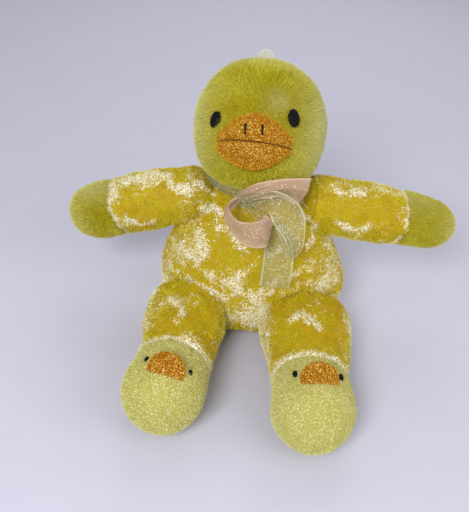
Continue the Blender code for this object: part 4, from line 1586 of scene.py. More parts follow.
    def build_tab(self) -> None:
        """Make the half-round tab in the crown's seam."""
        radii = (self.depth / 2, self.height - self.centre)
        crown = radii[1] * math.sqrt(1 - (self.seam_back / radii[0]) ** 2)
        bm = bmesh.new()
        bmesh.ops.create_circle(bm, cap_ends=True, segments=64, radius=1)
        geometry = bm.verts[:] + bm.edges[:] + bm.faces[:]
        bmesh.ops.bisect_plane(bm, geom=geometry, plane_co=(0, -0.45, 0), plane_no=(0, -1, 0),
                               clear_outer=True)
        bmesh.ops.inset_region(bm, faces=bm.faces, thickness=0.16, use_boundary=True)
        bmesh.ops.inset_region(bm, faces=[f for f in bm.faces if len(f.verts) > 4],
                               thickness=0.05, depth=-0.02)
        upright = self.seam() @ Matrix.Translation((0, crown, 0))
        shape = upright @ Matrix.Diagonal((self.tab_width / 2, self.tab_rise, 4 * MM, 1))
        bmesh.ops.transform(bm, matrix=shape, verts=bm.verts)
        tab = to_object("tab", bm)
        skin = tab.modifiers.new("cloth", "SOLIDIFY")
        skin.thickness, skin.offset = self.tab_thickness, 0
        settle(tab)
        FINISHES.wear(tab, TAB_CLOTH)
        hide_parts("hang_tab")
        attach(tab, "head")


@dataclass
class Bill:
    """The padded terry bill with its mouth line and nostrils."""

    head: Head
    width: float = 53.5 * MM
    height: float = 36.5 * MM
    rise: float = 3.2 * MM
    droop: float = 4 * MM
    reach: float = 14 * MM
    root: float = 5 * MM
    slope: float = math.radians(27)
    tilt: float = math.radians(3.5)
    drop: float = 1.5 * MM
    nostril_spread: float = 5.4 * MM
    nostril_aside: float = 1.6 * MM
    nostril_length: float = 7.5 * MM
    nostril_pitch: float = math.radians(46)
    nostril_split: float = 0.28 * MM
    nostril_slant: float = 0.25 * MM
    nostril_rise: float = 0.95 * MM
    nostril_sink: float = 0.05 * MM
    nostril_bend: float = 0.62
    nostril_thread: float = 0.42 * MM
    nostril_half_steps: int = 7
    fullness: float = 0.6
    sides: int = 48
    seam_depth: float = 1.5 * MM
    seam_reach: float = 1.5 * MM
    cover_depth: float = 0.2 * MM
    mouth_thread: float = 0.45 * MM
    mouth_start: float = 0.6 * MM
    mouth_step: float = 0.8 * MM
    mouth_sink: float = 0.9 * MM
    mouth_centre: float = 10 * MM
    lumps: tuple[Lumps, ...] = (Lumps(0.5 * MM, 11 * MM, 21.0),)
    shares: tuple[Row, ...] = ((0.0, 1.0), (0.28, 0.92), (0.52, 0.74), (0.74, 0.52),
                               (0.92, 0.30), (1.0, 0.0))
    form: Thing = field(init=False)

    def rows(self) -> list[Row]:
        """The bill's rows, from its right corner to its left corner.

        Returns:
            The rows.
        """
        half = [(a * self.width / 2, (self.reach + self.root) * max(h, 0.0) ** self.fullness,
                 h * self.height / 2) for a, h in self.shares]
        half = smooth_rows(smooth_rows(half, 2), 3)
        return [(-a, d, h) for a, d, h in reversed(half[1:])] + half

    def frame_at(self, across: float) -> Matrix:
        """The bill's ring frame: +Z across the face, +X forward, +Y up; its corners droop.

        Args:
            across: The distance from the middle of the bill.

        Returns:
            The frame.
        """
        share = across * 2 / self.width
        front = math.sqrt(max((self.head.depth / 2) ** 2 - across**2, 0)) - self.root
        ring = Matrix(((0, 0, 1, 0), (-1, 0, 0, 0), (0, 1, 0, 0), (0, 0, 0, 1)))
        ring.translation = (across, -front, self.rise - self.droop * share**2)
        return self.head.face() @ ring

    def mouth(self) -> Matrix:
        """The mouth's plane: it climbs towards the front, +Z up.

        Returns:
            A frame in that plane.
        """
        corner = -math.sqrt((self.head.depth / 2) ** 2 - (self.width / 2) ** 2)
        low = Matrix.Translation((0, corner, -self.drop))
        slope = Matrix.Rotation(self.tilt, 4, "Y") @ Matrix.Rotation(-self.slope, 4, "X")
        return self.head.face() @ low @ slope

    def covers(self, point: Vector) -> bool:
        """Whether a point lies inside the bill's form."""
        found, near, normal, _ = self.form.closest_point_on_mesh(point, distance=SURFACE_SEARCH)
        return found and (point - near).dot(normal) < -self.cover_depth

    def on_front(self, across: float, pitch: float) -> Matrix:
        """A frame on the bill's front, +Z outwards and +X across.

        Args:
            across: The distance from the middle.
            pitch: The angle upwards.

        Returns:
            The frame.
        """
        _, depth, height = row_at(self.rows(), across)
        point = Vector((depth * math.cos(pitch), height * math.sin(pitch), 0))
        normal = Vector((math.cos(pitch) / depth, math.sin(pitch) / height, 0))
        return self.frame_at(across) @ frame_from(point, normal, Vector((0, 0, 1)))

    def build(self, cover: Thing) -> None:
        """Make the padded panels, the mouth thread and the nostrils.

        Args:
            cover: The head's cover, which the bill is sewn on.
        """
        form = subdivide(loft("bill_panels", self.rows(), self.frame_at, self.sides))
        mouth = self.mouth()
        line = self.mouth_line(form, cover)
        groove(form, mouth, self.seam_depth, self.seam_reach)
        soften(form, self.lumps)
        self.form = form
        loops = dress(form, "bill_loops", LOOP_STRANDS, ORANGE_TERRY, downwards, nothing_bald)
        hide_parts("upper_bill", "lower_bill", "bill_stuffing")
        stitch = thread("mouth_thread", line, self.mouth_thread, mouth.col[2].to_3d())
        FINISHES.wear(stitch, BROWN_THREAD)
        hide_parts("mouth_stitch")
        for piece in (form, loops, stitch):
            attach(piece, "head")
        for name, sign in (("right", -1), ("left", 1)):
            self.build_nostril(name, sign)

    def mouth_line(self, form: Thing, cover: Thing) -> list[Vector]:
        """The line where the mouth's plane meets the front of the bill.

        Args:
            form: The bill before its groove.
            cover: The head's cover.

        Returns:
            The line's points, from corner to corner.
        """
        bm = bmesh.new()
        bm.from_mesh(form.data)
        plane = self.mouth()
        geometry = bm.verts[:] + bm.edges[:] + bm.faces[:]
        made = bmesh.ops.bisect_plane(bm, geom=geometry, plane_co=plane.translation,
                                      plane_no=plane.col[2].to_3d())["geom_cut"]
        back = self.head.face().inverted()
        found: list[tuple[float, Vector]] = []
        for item in made:
            if isinstance(item, Vert):
                ok, near, normal, _ = cover.closest_point_on_mesh(item.co, distance=SURFACE_SEARCH)
                if ok and (item.co - near).dot(normal) > self.mouth_start:
                    found.append(((back @ item.co).x, item.co.copy()))
        bm.free()
        found.sort(key=lambda pair: pair[0])
        line: list[Vector] = []
        centre = self.head.face() @ Vector((0, -self.head.depth / 2 + self.mouth_centre, 0))
        for _, point in found:
            if not line or (point - line[-1]).length > self.mouth_step:
                line.append(point + (centre - point).normalized() * self.mouth_sink)
        return line

    def build_nostril(self, name: str, sign: int) -> None:
        """Make one nostril, a pair of long stitches.

        Args:
            name: The side.
            sign: -1 for the right, 1 for the left.
        """
        spot = self.on_front(self.nostril_aside + sign * self.nostril_spread, self.nostril_pitch)
        parts = []
        for aside in (-self.nostril_split, self.nostril_split):
            line = []
            for step in range(2 * self.nostril_half_steps + 1):
                share = step / self.nostril_half_steps - 1
                height = self.nostril_rise * math.sqrt(max(1 - share**4, 0)) - self.nostril_sink
                bend = self.height * self.nostril_bend
                bow = -(share**2) * self.nostril_length**2 / 8 / bend
                local = (aside * (1 - 0.5 * abs(share)) + self.nostril_slant * share,
                         share * self.nostril_length / 2, height + bow)
                line.append(spot @ Vector(local))
            parts.append(thread("stitch", line, self.nostril_thread, spot.col[2].to_3d()))
        piece = join(f"nostril_{name}_stitches", parts)
        FINISHES.wear(piece, BLACK_THREAD)
        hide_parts(f"nostril_{name}")
        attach(piece, "head")


# Limbs


@dataclass(frozen=True)
class Side:
    """One side of the toy, with the lie of its limbs in the seated pose."""

    name: str
    sign: int
    arm_reach: float
    arm_droop: float
    arm_sag: float
    hand_twist: float
    hip_spread: float
    leg_width: float
    leg_reach: float
    toe_out: float
    foot_roll: float
    sole_ahead: float


RIGHT = Side("right", -1, 99.5 * MM, math.radians(18), 7.5 * MM, 0.0, 44 * MM, 60 * MM,
             80 * MM, math.radians(10.5), math.radians(7), 5.5 * MM)
LEFT = Side("left", 1, 110.5 * MM, math.radians(8.5), 4 * MM, math.radians(90), 47 * MM,
            68 * MM, 83 * MM, math.radians(2.5), math.radians(2), -1 * MM)


def seat_space(limb: "Arm | Leg", stop: float) -> Thing:
    """The form of a limb's root, grown a little, for the body's seat.

    Args:
        limb: The limb.
        stop: How far along the limb it reaches.

    Returns:
        The form.
    """
    rows = grown_rows(smooth_rows(limb.rows(), 2), SEAT_GAP)
    kept = [row for row in rows if row[0] < stop]
    return loft("space", [*kept, (kept[-1][0], 0.0, 0.0)], limb.frame_at, limb.sides)


@dataclass
class Arm:
    """A velour sleeve that ends in a pile hand."""

    side: Side
    torso: Torso
    width: float = 45 * MM
    root: float = 20.5 * MM
    back: float = math.radians(7)
    along_body: float = 102 * MM
    standoff: float = 8 * MM
    wrist: float = 0.60
    wrist_shine: float = 4 * MM
    hand_sink: float = 0.4 * MM
    blend_back: float = 10 * MM
    blend_reach: float = 24 * MM
    fold_height: float = 1.0 * MM
    lumps: tuple[Lumps, ...] = (Lumps(1.5 * MM, 17 * MM, 31.0), Lumps(0.6 * MM, 6 * MM, 35.0))
    hand_lumps: tuple[Lumps, ...] = (Lumps(1.0 * MM, 18 * MM, 41.0),)
    sides: int = 40
    shares: tuple[Row, ...] = (
        (0.18, 0.96, 0.95),
        (0.40, 1.00, 0.96),
        (0.60, 0.97, 0.86),
        (0.74, 1.00, 0.80),
        (0.86, 0.90, 0.72),
        (0.94, 0.68, 0.55),
        (0.985, 0.36, 0.30),
        (1.00, 0.0, 0.0),
    )

    def shoulder(self) -> Vector:
        """Centre of the ball at the arm's root.

        Returns:
            The centre.
        """
        _, width, _ = row_at(self.torso.rows(), self.along_body)
        centre = self.torso.frame_at(self.along_body).translation
        return centre + Vector((self.side.sign * (width + self.standoff), 0, 0))

    def straight(self) -> Vector:
        """The way the arm leaves the shoulder.

        Returns:
            The way, one long.
        """
        flat = math.cos(self.back)
        droop = self.side.arm_droop
        return Vector((self.side.sign * math.cos(droop) * flat, math.sin(self.back),
                       -math.sin(droop) * flat))

    def frame_at(self, along: float) -> Matrix:
        """The arm's ring frame: +Z along the arm, which droops more towards the hand.

        Args:
            along: The distance along the form.

        Returns:
            The frame.
        """
        share = max(along / self.side.arm_reach, 0)
        down = Vector((0, 0, -self.side.arm_sag))
        point = self.shoulder() + self.straight() * along + down * share**2
        ahead = self.straight() + down * share * 2 / self.side.arm_reach
        ring = frame_from(point, ahead, Vector((0, 0, 1)))
        return ring @ Matrix.Rotation(self.side.hand_twist, 4, "Z")

    def rows(self) -> list[Row]:
        """The arm's rows, from its root's pole to the hand's pole.

        Returns:
            The rows.
        """
        half = self.width / 2
        dome = dome_rows(self.root, self.root, self.root, ROW_STEPS, opening=True)
        rest = [(a * self.side.arm_reach, b * half, n * half) for a, b, n in self.shares]
        return [*dome, (0.0, self.root, self.root), *rest]

    def space(self) -> Thing:
        """The form that the body's seat is cut with."""
        return seat_space(self, self.wrist * self.side.arm_reach)

    def build(self) -> None:
        """Make the sleeve and the hand with their strands."""
        name, body = self.side.name, f"arm_{self.side.name}"
        rows = smooth_rows(self.rows(), ROW_STEPS)
        wrist = self.wrist * self.side.arm_reach
        back, root = self.frame_at(wrist).inverted(), self.frame_at(0).inverted()

        def edge(point: Vector) -> float:
            """Painted sheen: bright on its folds, at the wrist and along the top and bottom.

            Args:
                point: The point.

            Returns:
                A share from 0 to 1.
            """
            end = bell((back @ point).z / self.wrist_shine)
            middle = self.frame_at(max((root @ point).z, 0)).translation
            rim = min(abs(point.z - middle.z) / (self.width * 0.49), 1.0) ** 5
            return max(on_crease(point, SHINE_REACH), end * 0.8, rim * 0.45)

        def outwards(point: Vector, normal: Vector) -> Vector:
            """Towards the hand along the fabric."""
            return along_fabric(self.straight(), normal)

        sleeve = subdivide(loft(f"sleeve_{name}_cover", cut_rows(rows, None, wrist, CUT_TUCK),
                                self.frame_at, self.sides))
        STUFFING.swell(sleeve, lambda spot: float((back @ spot).z > -SEAM_GRIP
                                                  or (root @ spot).z < -ROOT_GRIP))
        soften(sleeve, self.lumps, self.side.sign)
        crease(sleeve, self.fold_height)
        nap = dress(sleeve, f"sleeve_{name}_nap", NAP_STRANDS, VELOUR, outwards, nothing_bald,
                    edge)
        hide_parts(f"sleeve_{name}", f"arm_stuffing_{name}")
        start = self.shoulder() - self.straight() * self.blend_back
        end = self.shoulder() + self.straight() * self.blend_reach
        for piece in (sleeve, nap):
            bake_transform(piece)
        tip = grown_rows(cut_rows(rows, wrist, None, CUT_TUCK), -self.hand_sink)
        hand = subdivide(loft(f"hand_{name}_cover", tip, self.frame_at, self.sides))
        STUFFING.swell(hand, lambda spot: float((back @ spot).z < SEAM_GRIP))
        soften(hand, self.hand_lumps, self.side.sign)

        def pale(point: Vector) -> float:
            """Painted sheen: paler towards the fingers' end and along its top and bottom.

            Args:
                point: The point.

            Returns:
                A share from 0 to 1.
            """
            middle = self.frame_at(max((root @ point).z, 0)).translation
            rim = min(abs(point.z - middle.z) / (self.width * 0.47), 1.0) ** 3
            end = min(max((back @ point).z / (self.side.arm_reach * 0.4), 0.0), 1.0) ** 3
            return max(rim * 0.6, end * 0.8)

        pile = dress(hand, f"hand_{name}_pile", HAND_STRANDS, PILE, outwards, nothing_bald, pale)
        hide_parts(f"hand_{name}")
        for piece in (hand, pile):
            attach(piece, body)


@dataclass
class Leg:
    """A velour leg that ends in a round terry foot with a small flap and eyes."""

    side: Side
    torso: Torso
    height: float = 52 * MM
    standoff: float = 9 * MM
    foot: float = 27.8 * MM
    cuff: float = 0.60
    cuff_fold: float = 8 * MM
    sides: int = 44
    flap_width: float = 25.5 * MM
    flap_length: float = 12.5 * MM
    flap_thickness: float = 3 * MM
    flap_tilt: float = math.radians(30)
    flap_sink: float = 3 * MM
    eye_length: float = 5 * MM
    eye_width: float = 3.2 * MM
    eye_rise: float = 1.4 * MM
    eye_spread: float = math.radians(33)
    eye_back: float = 8 * MM
    eye_stitches: int = 8
    toe_steps: int = 5
    flap_steps: int = 8
    flap_sides: int = 32
    cuff_shine: float = 6 * MM
    cuff_gap: float = 0.3 * MM
    seam_depth: float = 0.6 * MM
    seam_reach: float = 1.0 * MM
    blend_back: float = 12 * MM
    blend_reach: float = 26 * MM
    fold_height: float = 1.1 * MM
    lumps: tuple[Lumps, ...] = (Lumps(1.6 * MM, 19 * MM, 51.0), Lumps(0.7 * MM, 7 * MM, 55.0))
    foot_lumps: tuple[Lumps, ...] = (Lumps(0.7 * MM, 20 * MM, 61.0),)
    shares: tuple[Row, ...] = (
        (0.00, 1.00, 1.00, 0.0),
        (0.20, 0.99, 0.99, 0.0),
        (0.42, 0.87, 0.96, 0.0),
        (0.62, 0.40, 0.46, 0.46),
        (0.80, 0.0, 0.0, 0.945),
        (1.00, 0.0, 0.0, 1.0),
    )

    def hip(self) -> Vector:
        """Centre of the ball at the leg's root.

        Returns:
            The centre.
        """
        z = self.height / 2 - self.torso.press
        x = self.side.sign * self.side.hip_spread
        return Vector((x, self.torso.chest_front(x, z) - self.standoff, z))

    def rows(self) -> list[Row]:
        """The leg's rows, from its root's pole to the sole's pole.

        Returns:
            The rows.
        """
        half, tall = self.side.leg_width / 2, self.height / 2
        dome = dome_rows(tall, half, tall, ROW_STEPS, opening=True)
        middle = [(a * self.side.leg_reach, w * half + f * self.foot, h * tall + f * self.foot)
                  for a, w, h, f in self.shares]
        toe = dome_rows(self.foot, self.foot, self.foot, self.toe_steps, opening=False)
        return [*dome, *middle, *[(a + self.side.leg_reach, w, d) for a, w, d in toe]]

    def frame_at(self, along: float) -> Matrix:
        """The leg's ring frame: +Z along the leg, which turns out towards the toes.

        Args:
            along: The distance along the form.

        Returns:
            The frame.
        """
        share = min(max(along / self.side.leg_reach, 0), 1)
        past = max(along - self.side.leg_reach, 0)
        turn = self.side.toe_out * share
        aside = turn * share * self.side.leg_reach / 2 + past * math.sin(self.side.toe_out)
        forward = along - past + past * math.cos(self.side.toe_out)
        lift = (self.foot - self.height / 2) * share
        point = self.hip() + Vector((self.side.sign * aside, -forward, lift))
        ahead = Vector((self.side.sign * math.sin(turn), -math.cos(turn), 0))
        across = Vector((math.cos(turn), self.side.sign * math.sin(turn), 0))
        return frame_from(point, ahead, across)

    def space(self) -> Thing:
        """The form that the body's seat is cut with."""
        return seat_space(self, self.cuff * self.side.leg_reach)

    def build(self) -> None:
        """Make the leg, the foot and the foot's face."""
        name, body = self.side.name, f"leg_{self.side.name}"
        rows = smooth_rows(self.rows(), ROW_STEPS)
        cuff = self.cuff * self.side.leg_reach + self.cuff_fold
        seam = self.side.leg_reach + self.side.sole_ahead
        back, root = self.frame_at(cuff).inverted(), self.frame_at(0).inverted()

        def edge(point: Vector) -> float:
            """Painted sheen: bright on its folds, at the cuff and on the outer flank.

            Args:
                point: The point.

            Returns:
                A share from 0 to 1.
            """
            near = back @ point
            end = bell(near.z / self.cuff_shine)
            rim = min(abs(near.x) / (self.side.leg_width * 0.47), 1.0) ** 5
            return max(on_crease(point, SHINE_REACH), end, rim * 0.6)

        def outwards(point: Vector, normal: Vector) -> Vector:
            """Towards the toes along the fabric."""
            return along_fabric(Vector((0, -1, -0.2)), normal)

        leg = subdivide(loft(f"leg_{name}_cover", cut_rows(rows, None, cuff, CUT_TUCK),
                             self.frame_at, self.sides))
        STUFFING.swell(leg, lambda spot: float((back @ spot).z > -SEAM_GRIP
                                               or (root @ spot).z < -ROOT_GRIP))
        soften(leg, self.lumps, self.side.sign)
        crease(leg, self.fold_height)
        press_on_floor(leg)
        nap = dress(leg, f"leg_{name}_nap", NAP_STRANDS, VELOUR, outwards, nothing_bald, edge)
        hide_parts(f"leg_cover_{name}", f"leg_stuffing_{name}")
        start = self.hip() + Vector((0, self.blend_back, 0))
        end = self.hip() - Vector((0, self.blend_reach, 0))
        for piece in (leg, nap):
            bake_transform(piece)
        foot = subdivide(loft(f"foot_{name}_cover",
                              cut_rows(rows, cuff + self.cuff_gap, None, CUT_TUCK),
                              self.frame_at, self.sides))
        soften(foot, self.foot_lumps, self.side.sign)
        groove(foot, self.frame_at(seam), self.seam_depth, self.seam_reach)
        press_on_floor(foot)
        loops = dress(foot, f"foot_{name}_loops", LOOP_STRANDS, PALE_TERRY, downwards,
                      nothing_bald)
        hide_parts(f"foot_upper_{name}", f"foot_sole_{name}")
        for piece in (foot, loops):
            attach(piece, body)
        self.build_face(seam, row_at(self.rows(), seam)[2], body)

    def build_face(self, along: float, radius: float, body: str) -> None:
        """Make the flap on the sole's seam and the eye at each side of it.

        Args:
            along: Where the seam is.
            radius: The foot's radius there.
            body: The body they ride on.
        """
        name = self.side.name
        ring = self.frame_at(along)
        level = frame_from(ring.translation, Vector((0, 0, 1)), ring.col[0].to_3d())
        level = level @ Matrix.Rotation(self.side.foot_roll, 4, "Y")
        width, thick = self.flap_width / 2, self.flap_thickness / 2
        rows = [(-self.flap_sink, 0.0, 0.0), (-self.flap_sink, width, thick),
                (0.0, width, thick)]
        rows += dome_rows(self.flap_length, width, thick, self.flap_steps, opening=False)
        lean = ahead_by(radius) @ Matrix.Rotation(self.flap_tilt, 4, "X")
        lean = lean @ frame_from(Vector(), Vector((0, 1, 0)), Vector((1, 0, 0)))
        flap = loft(f"foot_flap_{name}", rows, lambda step: lean @ ahead_by(step), self.flap_sides)
        subdivide(flap)
        for vert in flap.data.vertices:
            bend = Matrix.Rotation(vert.co.x / radius, 4, "Y")
            vert.co = level @ bend @ Vector((0, vert.co.y, vert.co.z))
        loops = dress(flap, f"foot_flap_{name}_loops", LOOP_STRANDS, ORANGE_TERRY, downwards,
                      nothing_bald)
        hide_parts(f"foot_bill_{name}")
        for piece in (flap, loops):
            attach(piece, body)
        for label, aside in (("inner", -self.side.sign), ("outer", self.side.sign)):
            spot = level @ Matrix.Translation((0, self.eye_back, 0))
            spot = spot @ Matrix.Rotation(aside * self.eye_spread, 4, "Y")
            spot = spot @ ahead_by(radius) @ Matrix.Rotation(math.pi / 2, 4, "Z")
            eye = SatinPatch(f"foot_eye_{label}_{name}_stitches", spot, self.eye_length,
                             self.eye_width, self.eye_rise, self.eye_stitches).build()
            FINISHES.wear(eye, BLACK_THREAD)
            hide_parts(f"foot_eye_{label}_{name}")
            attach(eye, body)


# Bow


def finish_ribbon(strip: Thing, finish: RibbonFinish, thickness: float,
                  values: Sequence[Sequence[float]]) -> None:
    """Give a strip of ribbon its values, its thickness and its finish.

    Args:
        strip: The strip.
        finish: The finish.
        thickness: The strip's thickness.
        values: Each point's place across and along the strip, and how near its hem it is.
    """
    for name, numbers in zip(("across", "along", "hem"), values):
        keep_value(strip, name, numbers)
    skin = strip.modifiers.new("thickness", "SOLIDIFY")
    skin.thickness, skin.offset = thickness, 0
    FINISHES.wear(strip, finish)


@dataclass
class Ribbon:
    """A strip of ribbon, gathered at the knot and flat at its far end."""

    name: str
    node: str
    finish: RibbonFinish
    shares: tuple[tuple, ...]
    rests_on: str
    held: Held
    knot: Vector
    width: float = 22 * MM
    span: float = 50 * MM
    thickness: float = 0.3 * MM
    steps: int = 8
    columns: int = 60
    pleats: int = 3
    fullness: float = 0.76
    fold: float = 0.05
    fold_aside: float = 0.2
    stray_length: float = 14 * MM
    narrowest: float = 0.2

    def pleat(self, share: float) -> float:
        """How high the pleats stand where the strip is gathered to a share of its width.

        Args:
            share: The gathered width over the flat one.

        Returns:
            The pleats' half height.
        """
        gathered = max(self.fullness / share, 1.0)
        wave = self.width * share / self.pleats
        return wave / 4 * math.sqrt(gathered**2 - 1)

    def build(self) -> None:
        """Make the strip, its bright hems and its values across and along."""
        rows = []
        for right, up, forward, share, lie in self.shares:
            rows.append((*(self.knot + Vector((right, -forward, up)) * self.span), share, *lie))
        fine = smooth_rows(rows, self.steps)
        centres = [Vector(row[:3]) for row in fine]
        runs = [0.0]
        for first, second in zip(centres, centres[1:]):
            runs.append(runs[-1] + (second - first).length)
        bm = bmesh.new()
        bmesh.ops.create_grid(bm, x_segments=self.columns, y_segments=len(fine) - 1, size=1)
        across, along, hem = [], [], []
        last = len(fine) - 1
        for vert in bm.verts:
            k = min(max(int(round((vert.co.y + 1) / 2 * last)), 0), last)
            t = vert.co.x
            share = min(max(fine[k][3], self.narrowest), 1.0)
            ahead = centres[min(k + 1, last)] - centres[max(k - 1, 0)]
            lie = Vector(fine[k][4:7])
            lie = (lie - ahead * lie.dot(ahead) / ahead.length_squared).normalized()
            out = ahead.cross(lie).normalized()
            stray = noise.noise(Vector((t * 1.4, runs[k] / self.stray_length, len(self.name))))
            lift = self.pleat(share) * math.sin(math.pi * self.pleats * (t + 1) + 2.2 * stray)
            crest = 1 - min(abs(t - self.fold_aside) / (1 - self.fold_aside), 1.0)
            lift += self.width * self.fold * crest + stray * MM
            vert.co = centres[k] + lie * (t * share * self.width / 2) + out * lift
            across.append(t * self.width / 2)
            along.append(runs[k])
            hem.append(abs(t))
        strip = to_object(self.name, bm)
        finish_ribbon(strip, self.finish, self.thickness, (across, along, hem))
        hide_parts(self.node)
        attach(strip, "torso")
        log.info("%s: %.0f mm of ribbon", self.name, runs[-1] / MM)


@dataclass
class Bow:
    """The neck band, the knot, and the loop and tail of each ribbon."""

    torso: Torso
    head: Head
    reach: float = 37 * MM
    turn: float = math.radians(-16)
    knot_size: Triple = (11 * MM, 10 * MM, 10 * MM)
    band_width: float = 8.6 * MM
    band_lift: float = 2.5 * MM
    band_clearance: float = 1.6 * MM
    band_flat: float = 22 * MM
    band_bulge: float = 1.2 * MM
    band_thickness: float = 0.25 * MM
    band_columns: int = 160
    band_lanes: int = 64
    band_folds: int = 5
    knot_ridge: float = 0.05
    knot_ridges: float = 19

    def knot(self) -> Matrix:
        """Centre of the knot, in front of the neck band."""
        spot = Vector((math.sin(self.turn), -math.cos(self.turn), 0)) * self.reach
        return self.torso.neck_frame() @ Matrix.Translation(spot) @ Matrix.Rotation(
            self.turn, 4, "Z")

    def build(self) -> None:
        """Make every piece of the bow."""
        self.build_band()
        self.build_knot()
        at = self.knot().translation
        upright, down, out = (0.0, -0.3, 1.0), (1.0, 0.0, 0.1), (-0.1, 0.1, 1.0)
        Ribbon("peach_tail_strip", "peach_tail", PEACH_SATIN, (
            (0.00, 0.03, 0.00, 0.34, upright),
            (0.28, 0.22, 0.13, 0.70, upright),
            (0.58, 0.27, 0.08, 0.80, (0.0, -0.2, 1.0)),
            (0.89, 0.17, -0.02, 1.00, (-0.1, 0.0, 1.0)),
        ), "torso_cover", Held.DRAPED, at, fold=0.13).build()
        Ribbon("peach_loop_strip", "peach_loop", PEACH_SATIN, (
            (-0.02, 0.00, 0.03, 0.34, (0.1, -0.2, 1.0)),
            (-0.10, -0.04, 0.13, 0.55, (0.1, -0.2, 1.0)),
            (-0.18, -0.08, 0.29, 0.70, (0.1, -0.4, 0.9)),
            (-0.04, -0.15, 0.47, 0.75, (-0.2, -0.2, 0.9)),
            (0.16, -0.23, 0.50, 0.90, (-0.1, 0.0, 1.0)),
            (0.36, -0.28, 0.42, 1.00, out),
            (0.44, -0.31, 0.29, 0.80, (0.0, 0.1, 1.0)),
            (0.30, -0.22, 0.17, 0.50, (0.0, 0.0, 1.0)),
        ), "torso_cover", Held.GATHERED, at).build()
        Ribbon("pale_loop_strip", "pale_loop", PALE_ORGANZA, (
            (0.00, 0.00, 0.05, 0.34, (0.1, -0.1, 1.0)),
            (0.23, 0.07, 0.18, 0.45, (0.1, -0.1, 1.0)),
            (0.45, 0.16, 0.27, 0.69, (0.4, 0.5, 0.8)),
            (0.65, 0.02, 0.37, 1.00, (1.0, 0.1, -0.2)),
            (0.77, -0.25, 0.43, 0.70, (1.0, 0.1, 0.0)),
            (0.81, -0.49, 0.45, 0.42, down),
            (0.80, -0.66, 0.37, 0.35, down),
            (0.74, -0.51, 0.27, 0.35, down),
            (0.60, -0.27, 0.21, 0.35, (1.0, 0.0, 0.2)),
        ), "torso_cover", Held.GATHERED, at).build()
        Ribbon("pale_tail_strip", "pale_tail", PALE_ORGANZA, (
            (0.02, -0.04, 0.00, 0.34, (0.6, 0.1, 0.6)),
            (0.26, -0.17, 0.07, 0.40, (0.6, 0.1, 0.6)),
            (0.46, -0.39, 0.11, 0.65, (1.0, 0.1, 0.3)),
            (0.60, -0.67, 0.19, 0.90, down),
            (0.62, -0.95, 0.30, 1.00, down),
            (0.60, -1.25, 0.39, 1.00, (1.0, 0.1, 0.1)),
        ), "torso_cover", Held.DRAPED, at).build()

    def build_band(self) -> None:
        """Make the band, folded lengthwise as it goes round the neck."""
        low = row_at(self.torso.rows(), self.torso.length - self.band_width / 2)[1]
        high = row_at(self.head.rows(), self.band_lift + self.band_width / 2)[1]
        bm = bmesh.new()
        bmesh.ops.create_grid(bm, x_segments=self.band_columns, y_segments=self.band_lanes,
                              size=1)
        ratio = self.band_flat / self.band_width
        depth = self.band_width / self.band_folds / 4 * math.sqrt(ratio**2 - 1)
        across, along, hem = [], [], []
        for vert in bm.verts:
            angle, share = vert.co.x * math.pi, (vert.co.y + 1) / 2
            fold = math.sin(share * self.band_folds * math.tau + math.sin(angle * 3) * 0.5)
            radius = low + (high - low) * share + self.band_clearance
            radius += depth * fold + self.band_bulge * math.sin(share * math.pi)
            height = self.band_lift + (share - 0.5) * self.band_width
            local = Vector((radius * math.sin(angle), radius * math.cos(angle), height))
            vert.co = self.torso.neck_frame() @ local
            across.append((share - 0.5) * self.band_flat)
            along.append(angle * radius)
            hem.append(abs(share * 2 - 1))
        band = to_object("neck_band", bm)
        finish_ribbon(band, PALE_ORGANZA, self.band_thickness, (across, along, hem))
        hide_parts("neck_ribbon")
        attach(band, "torso")

    def build_knot(self) -> None:
        """Make the knot: ribbon wrapped over itself in ridges."""
        bm = bmesh.new()
        bmesh.ops.create_uvsphere(bm, u_segments=72, v_segments=36, radius=1)
        for vert in bm.verts:
            angle = math.atan2(vert.co.z, vert.co.y)
            turns = vert.co.x * self.knot_ridges + math.sin(angle * 2) * 0.9
            vert.co *= 1 + self.knot_ridge * math.sin(turns)
        shape = self.knot() @ Matrix.Diagonal((*[size / 2 for size in self.knot_size], 1))
        bmesh.ops.transform(bm, matrix=shape, verts=bm.verts)
        knot = to_object("knot_wrap", bm)
        FINISHES.wear(knot, PALE_ORGANZA)
        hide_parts("bow_knot")
        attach(knot, "torso")


# Studio


def looking(place: Triple, aim: Triple) -> Matrix:
    """The frame of a camera or a lamp at a place that looks at the aim."""
    turn = (Vector(aim) - Vector(place)).to_track_quat("-Z", "Y")
    return Matrix.Translation(place) @ turn.to_matrix().to_4x4()


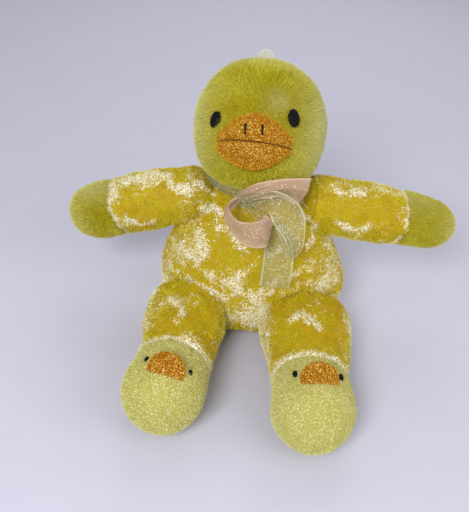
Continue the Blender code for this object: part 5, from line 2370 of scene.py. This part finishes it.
@dataclass
class Studio:
    """The floor, the soft lights and the camera at the photo's angle."""

    eye: Triple = (-0.011, -0.392, 0.362)
    aim: Triple = (-0.011, 0.065, 0.005)
    roll: float = math.radians(4.5)
    lens: float = 44.58
    clip: float = 0.01
    floor_colour: Colour = (0.60, 0.595, 0.71)
    floor_size: float = 4.0
    floor_drop: float = 0.2 * MM
    lit: Triple = (0.0, 0.0, 0.08)
    sky: Colour = (0.95, 0.96, 1.0)
    sky_strength: float = 0.38

    def build(self) -> None:
        """Set up the whole studio."""
        scene = bpy.context.scene
        scene.view_settings.view_transform = "Standard"
        self.build_floor()
        self.build_lights()
        camera = bpy.data.objects.new("camera", bpy.data.cameras.new("camera"))
        scene.collection.objects.link(camera)
        camera.data.lens = self.lens
        camera.data.clip_start = self.clip
        roll = Matrix.Rotation(self.roll, 4, "Z")
        camera.matrix_world = looking(self.eye, self.aim) @ roll
        scene.camera = camera

    def build_floor(self) -> None:
        """Lay the pale floor."""
        bm = bmesh.new()
        bmesh.ops.create_grid(bm, x_segments=1, y_segments=1, size=self.floor_size)
        bmesh.ops.translate(bm, verts=bm.verts, vec=(0, 0, -self.floor_drop))
        floor = to_object("floor", bm)
        sheet = NodeSheet("floor_paper")
        soft = sheet.noise(30.0, 3.0)
        pale = tuple(min(part * 1.06, 1.0) for part in self.floor_colour)
        sheet.set(base_color=sheet.mix(soft, self.floor_colour, pale), roughness=0.7)
        sheet.bump(sheet.noise(500.0, 2.0), 0.1 * MM, 0.3)
        floor.data.materials.append(sheet.material)

    def build_lights(self) -> None:
        """Hang the lamps and set the world's light."""
        for name, place, power, size in (
            ("key", (-0.30, -0.80, 0.75), 8.0, 0.40),
            ("fill", (0.75, -0.50, 0.60), 3.2, 0.8),
            ("back", (0.1, 0.9, 0.9), 3.8, 0.9),
        ):
            lamp = bpy.data.lights.new(name, "AREA")
            lamp.energy, lamp.size = power, size
            holder = bpy.data.objects.new(name, lamp)
            bpy.context.scene.collection.objects.link(holder)
            holder.matrix_world = looking(place, self.lit)
        world = bpy.data.worlds.new("studio")
        world.use_nodes = True
        sky = world.node_tree.nodes["Background"]
        sky.inputs["Color"].default_value = (*self.sky, 1)
        sky.inputs["Strength"].default_value = self.sky_strength
        bpy.context.scene.world = world


def main() -> None:
    """Build the duck and its studio, and report each piece."""
    logging.basicConfig(level=logging.INFO, format="%(name)s: %(message)s")
    noise.seed_set(FOLD_SEED)
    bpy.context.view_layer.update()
    Studio().build()
    torso = Torso()
    arms = [Arm(side, torso) for side in (RIGHT, LEFT)]
    legs = [Leg(side, torso) for side in (RIGHT, LEFT)]
    torso.build([limb.space() for limb in (*arms, *legs)])
    head = Head(torso)
    head.build()
    for limb in (*arms, *legs):
        limb.build()
    Bow(torso, head).build()
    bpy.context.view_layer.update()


if __name__ == "__main__":
    main()
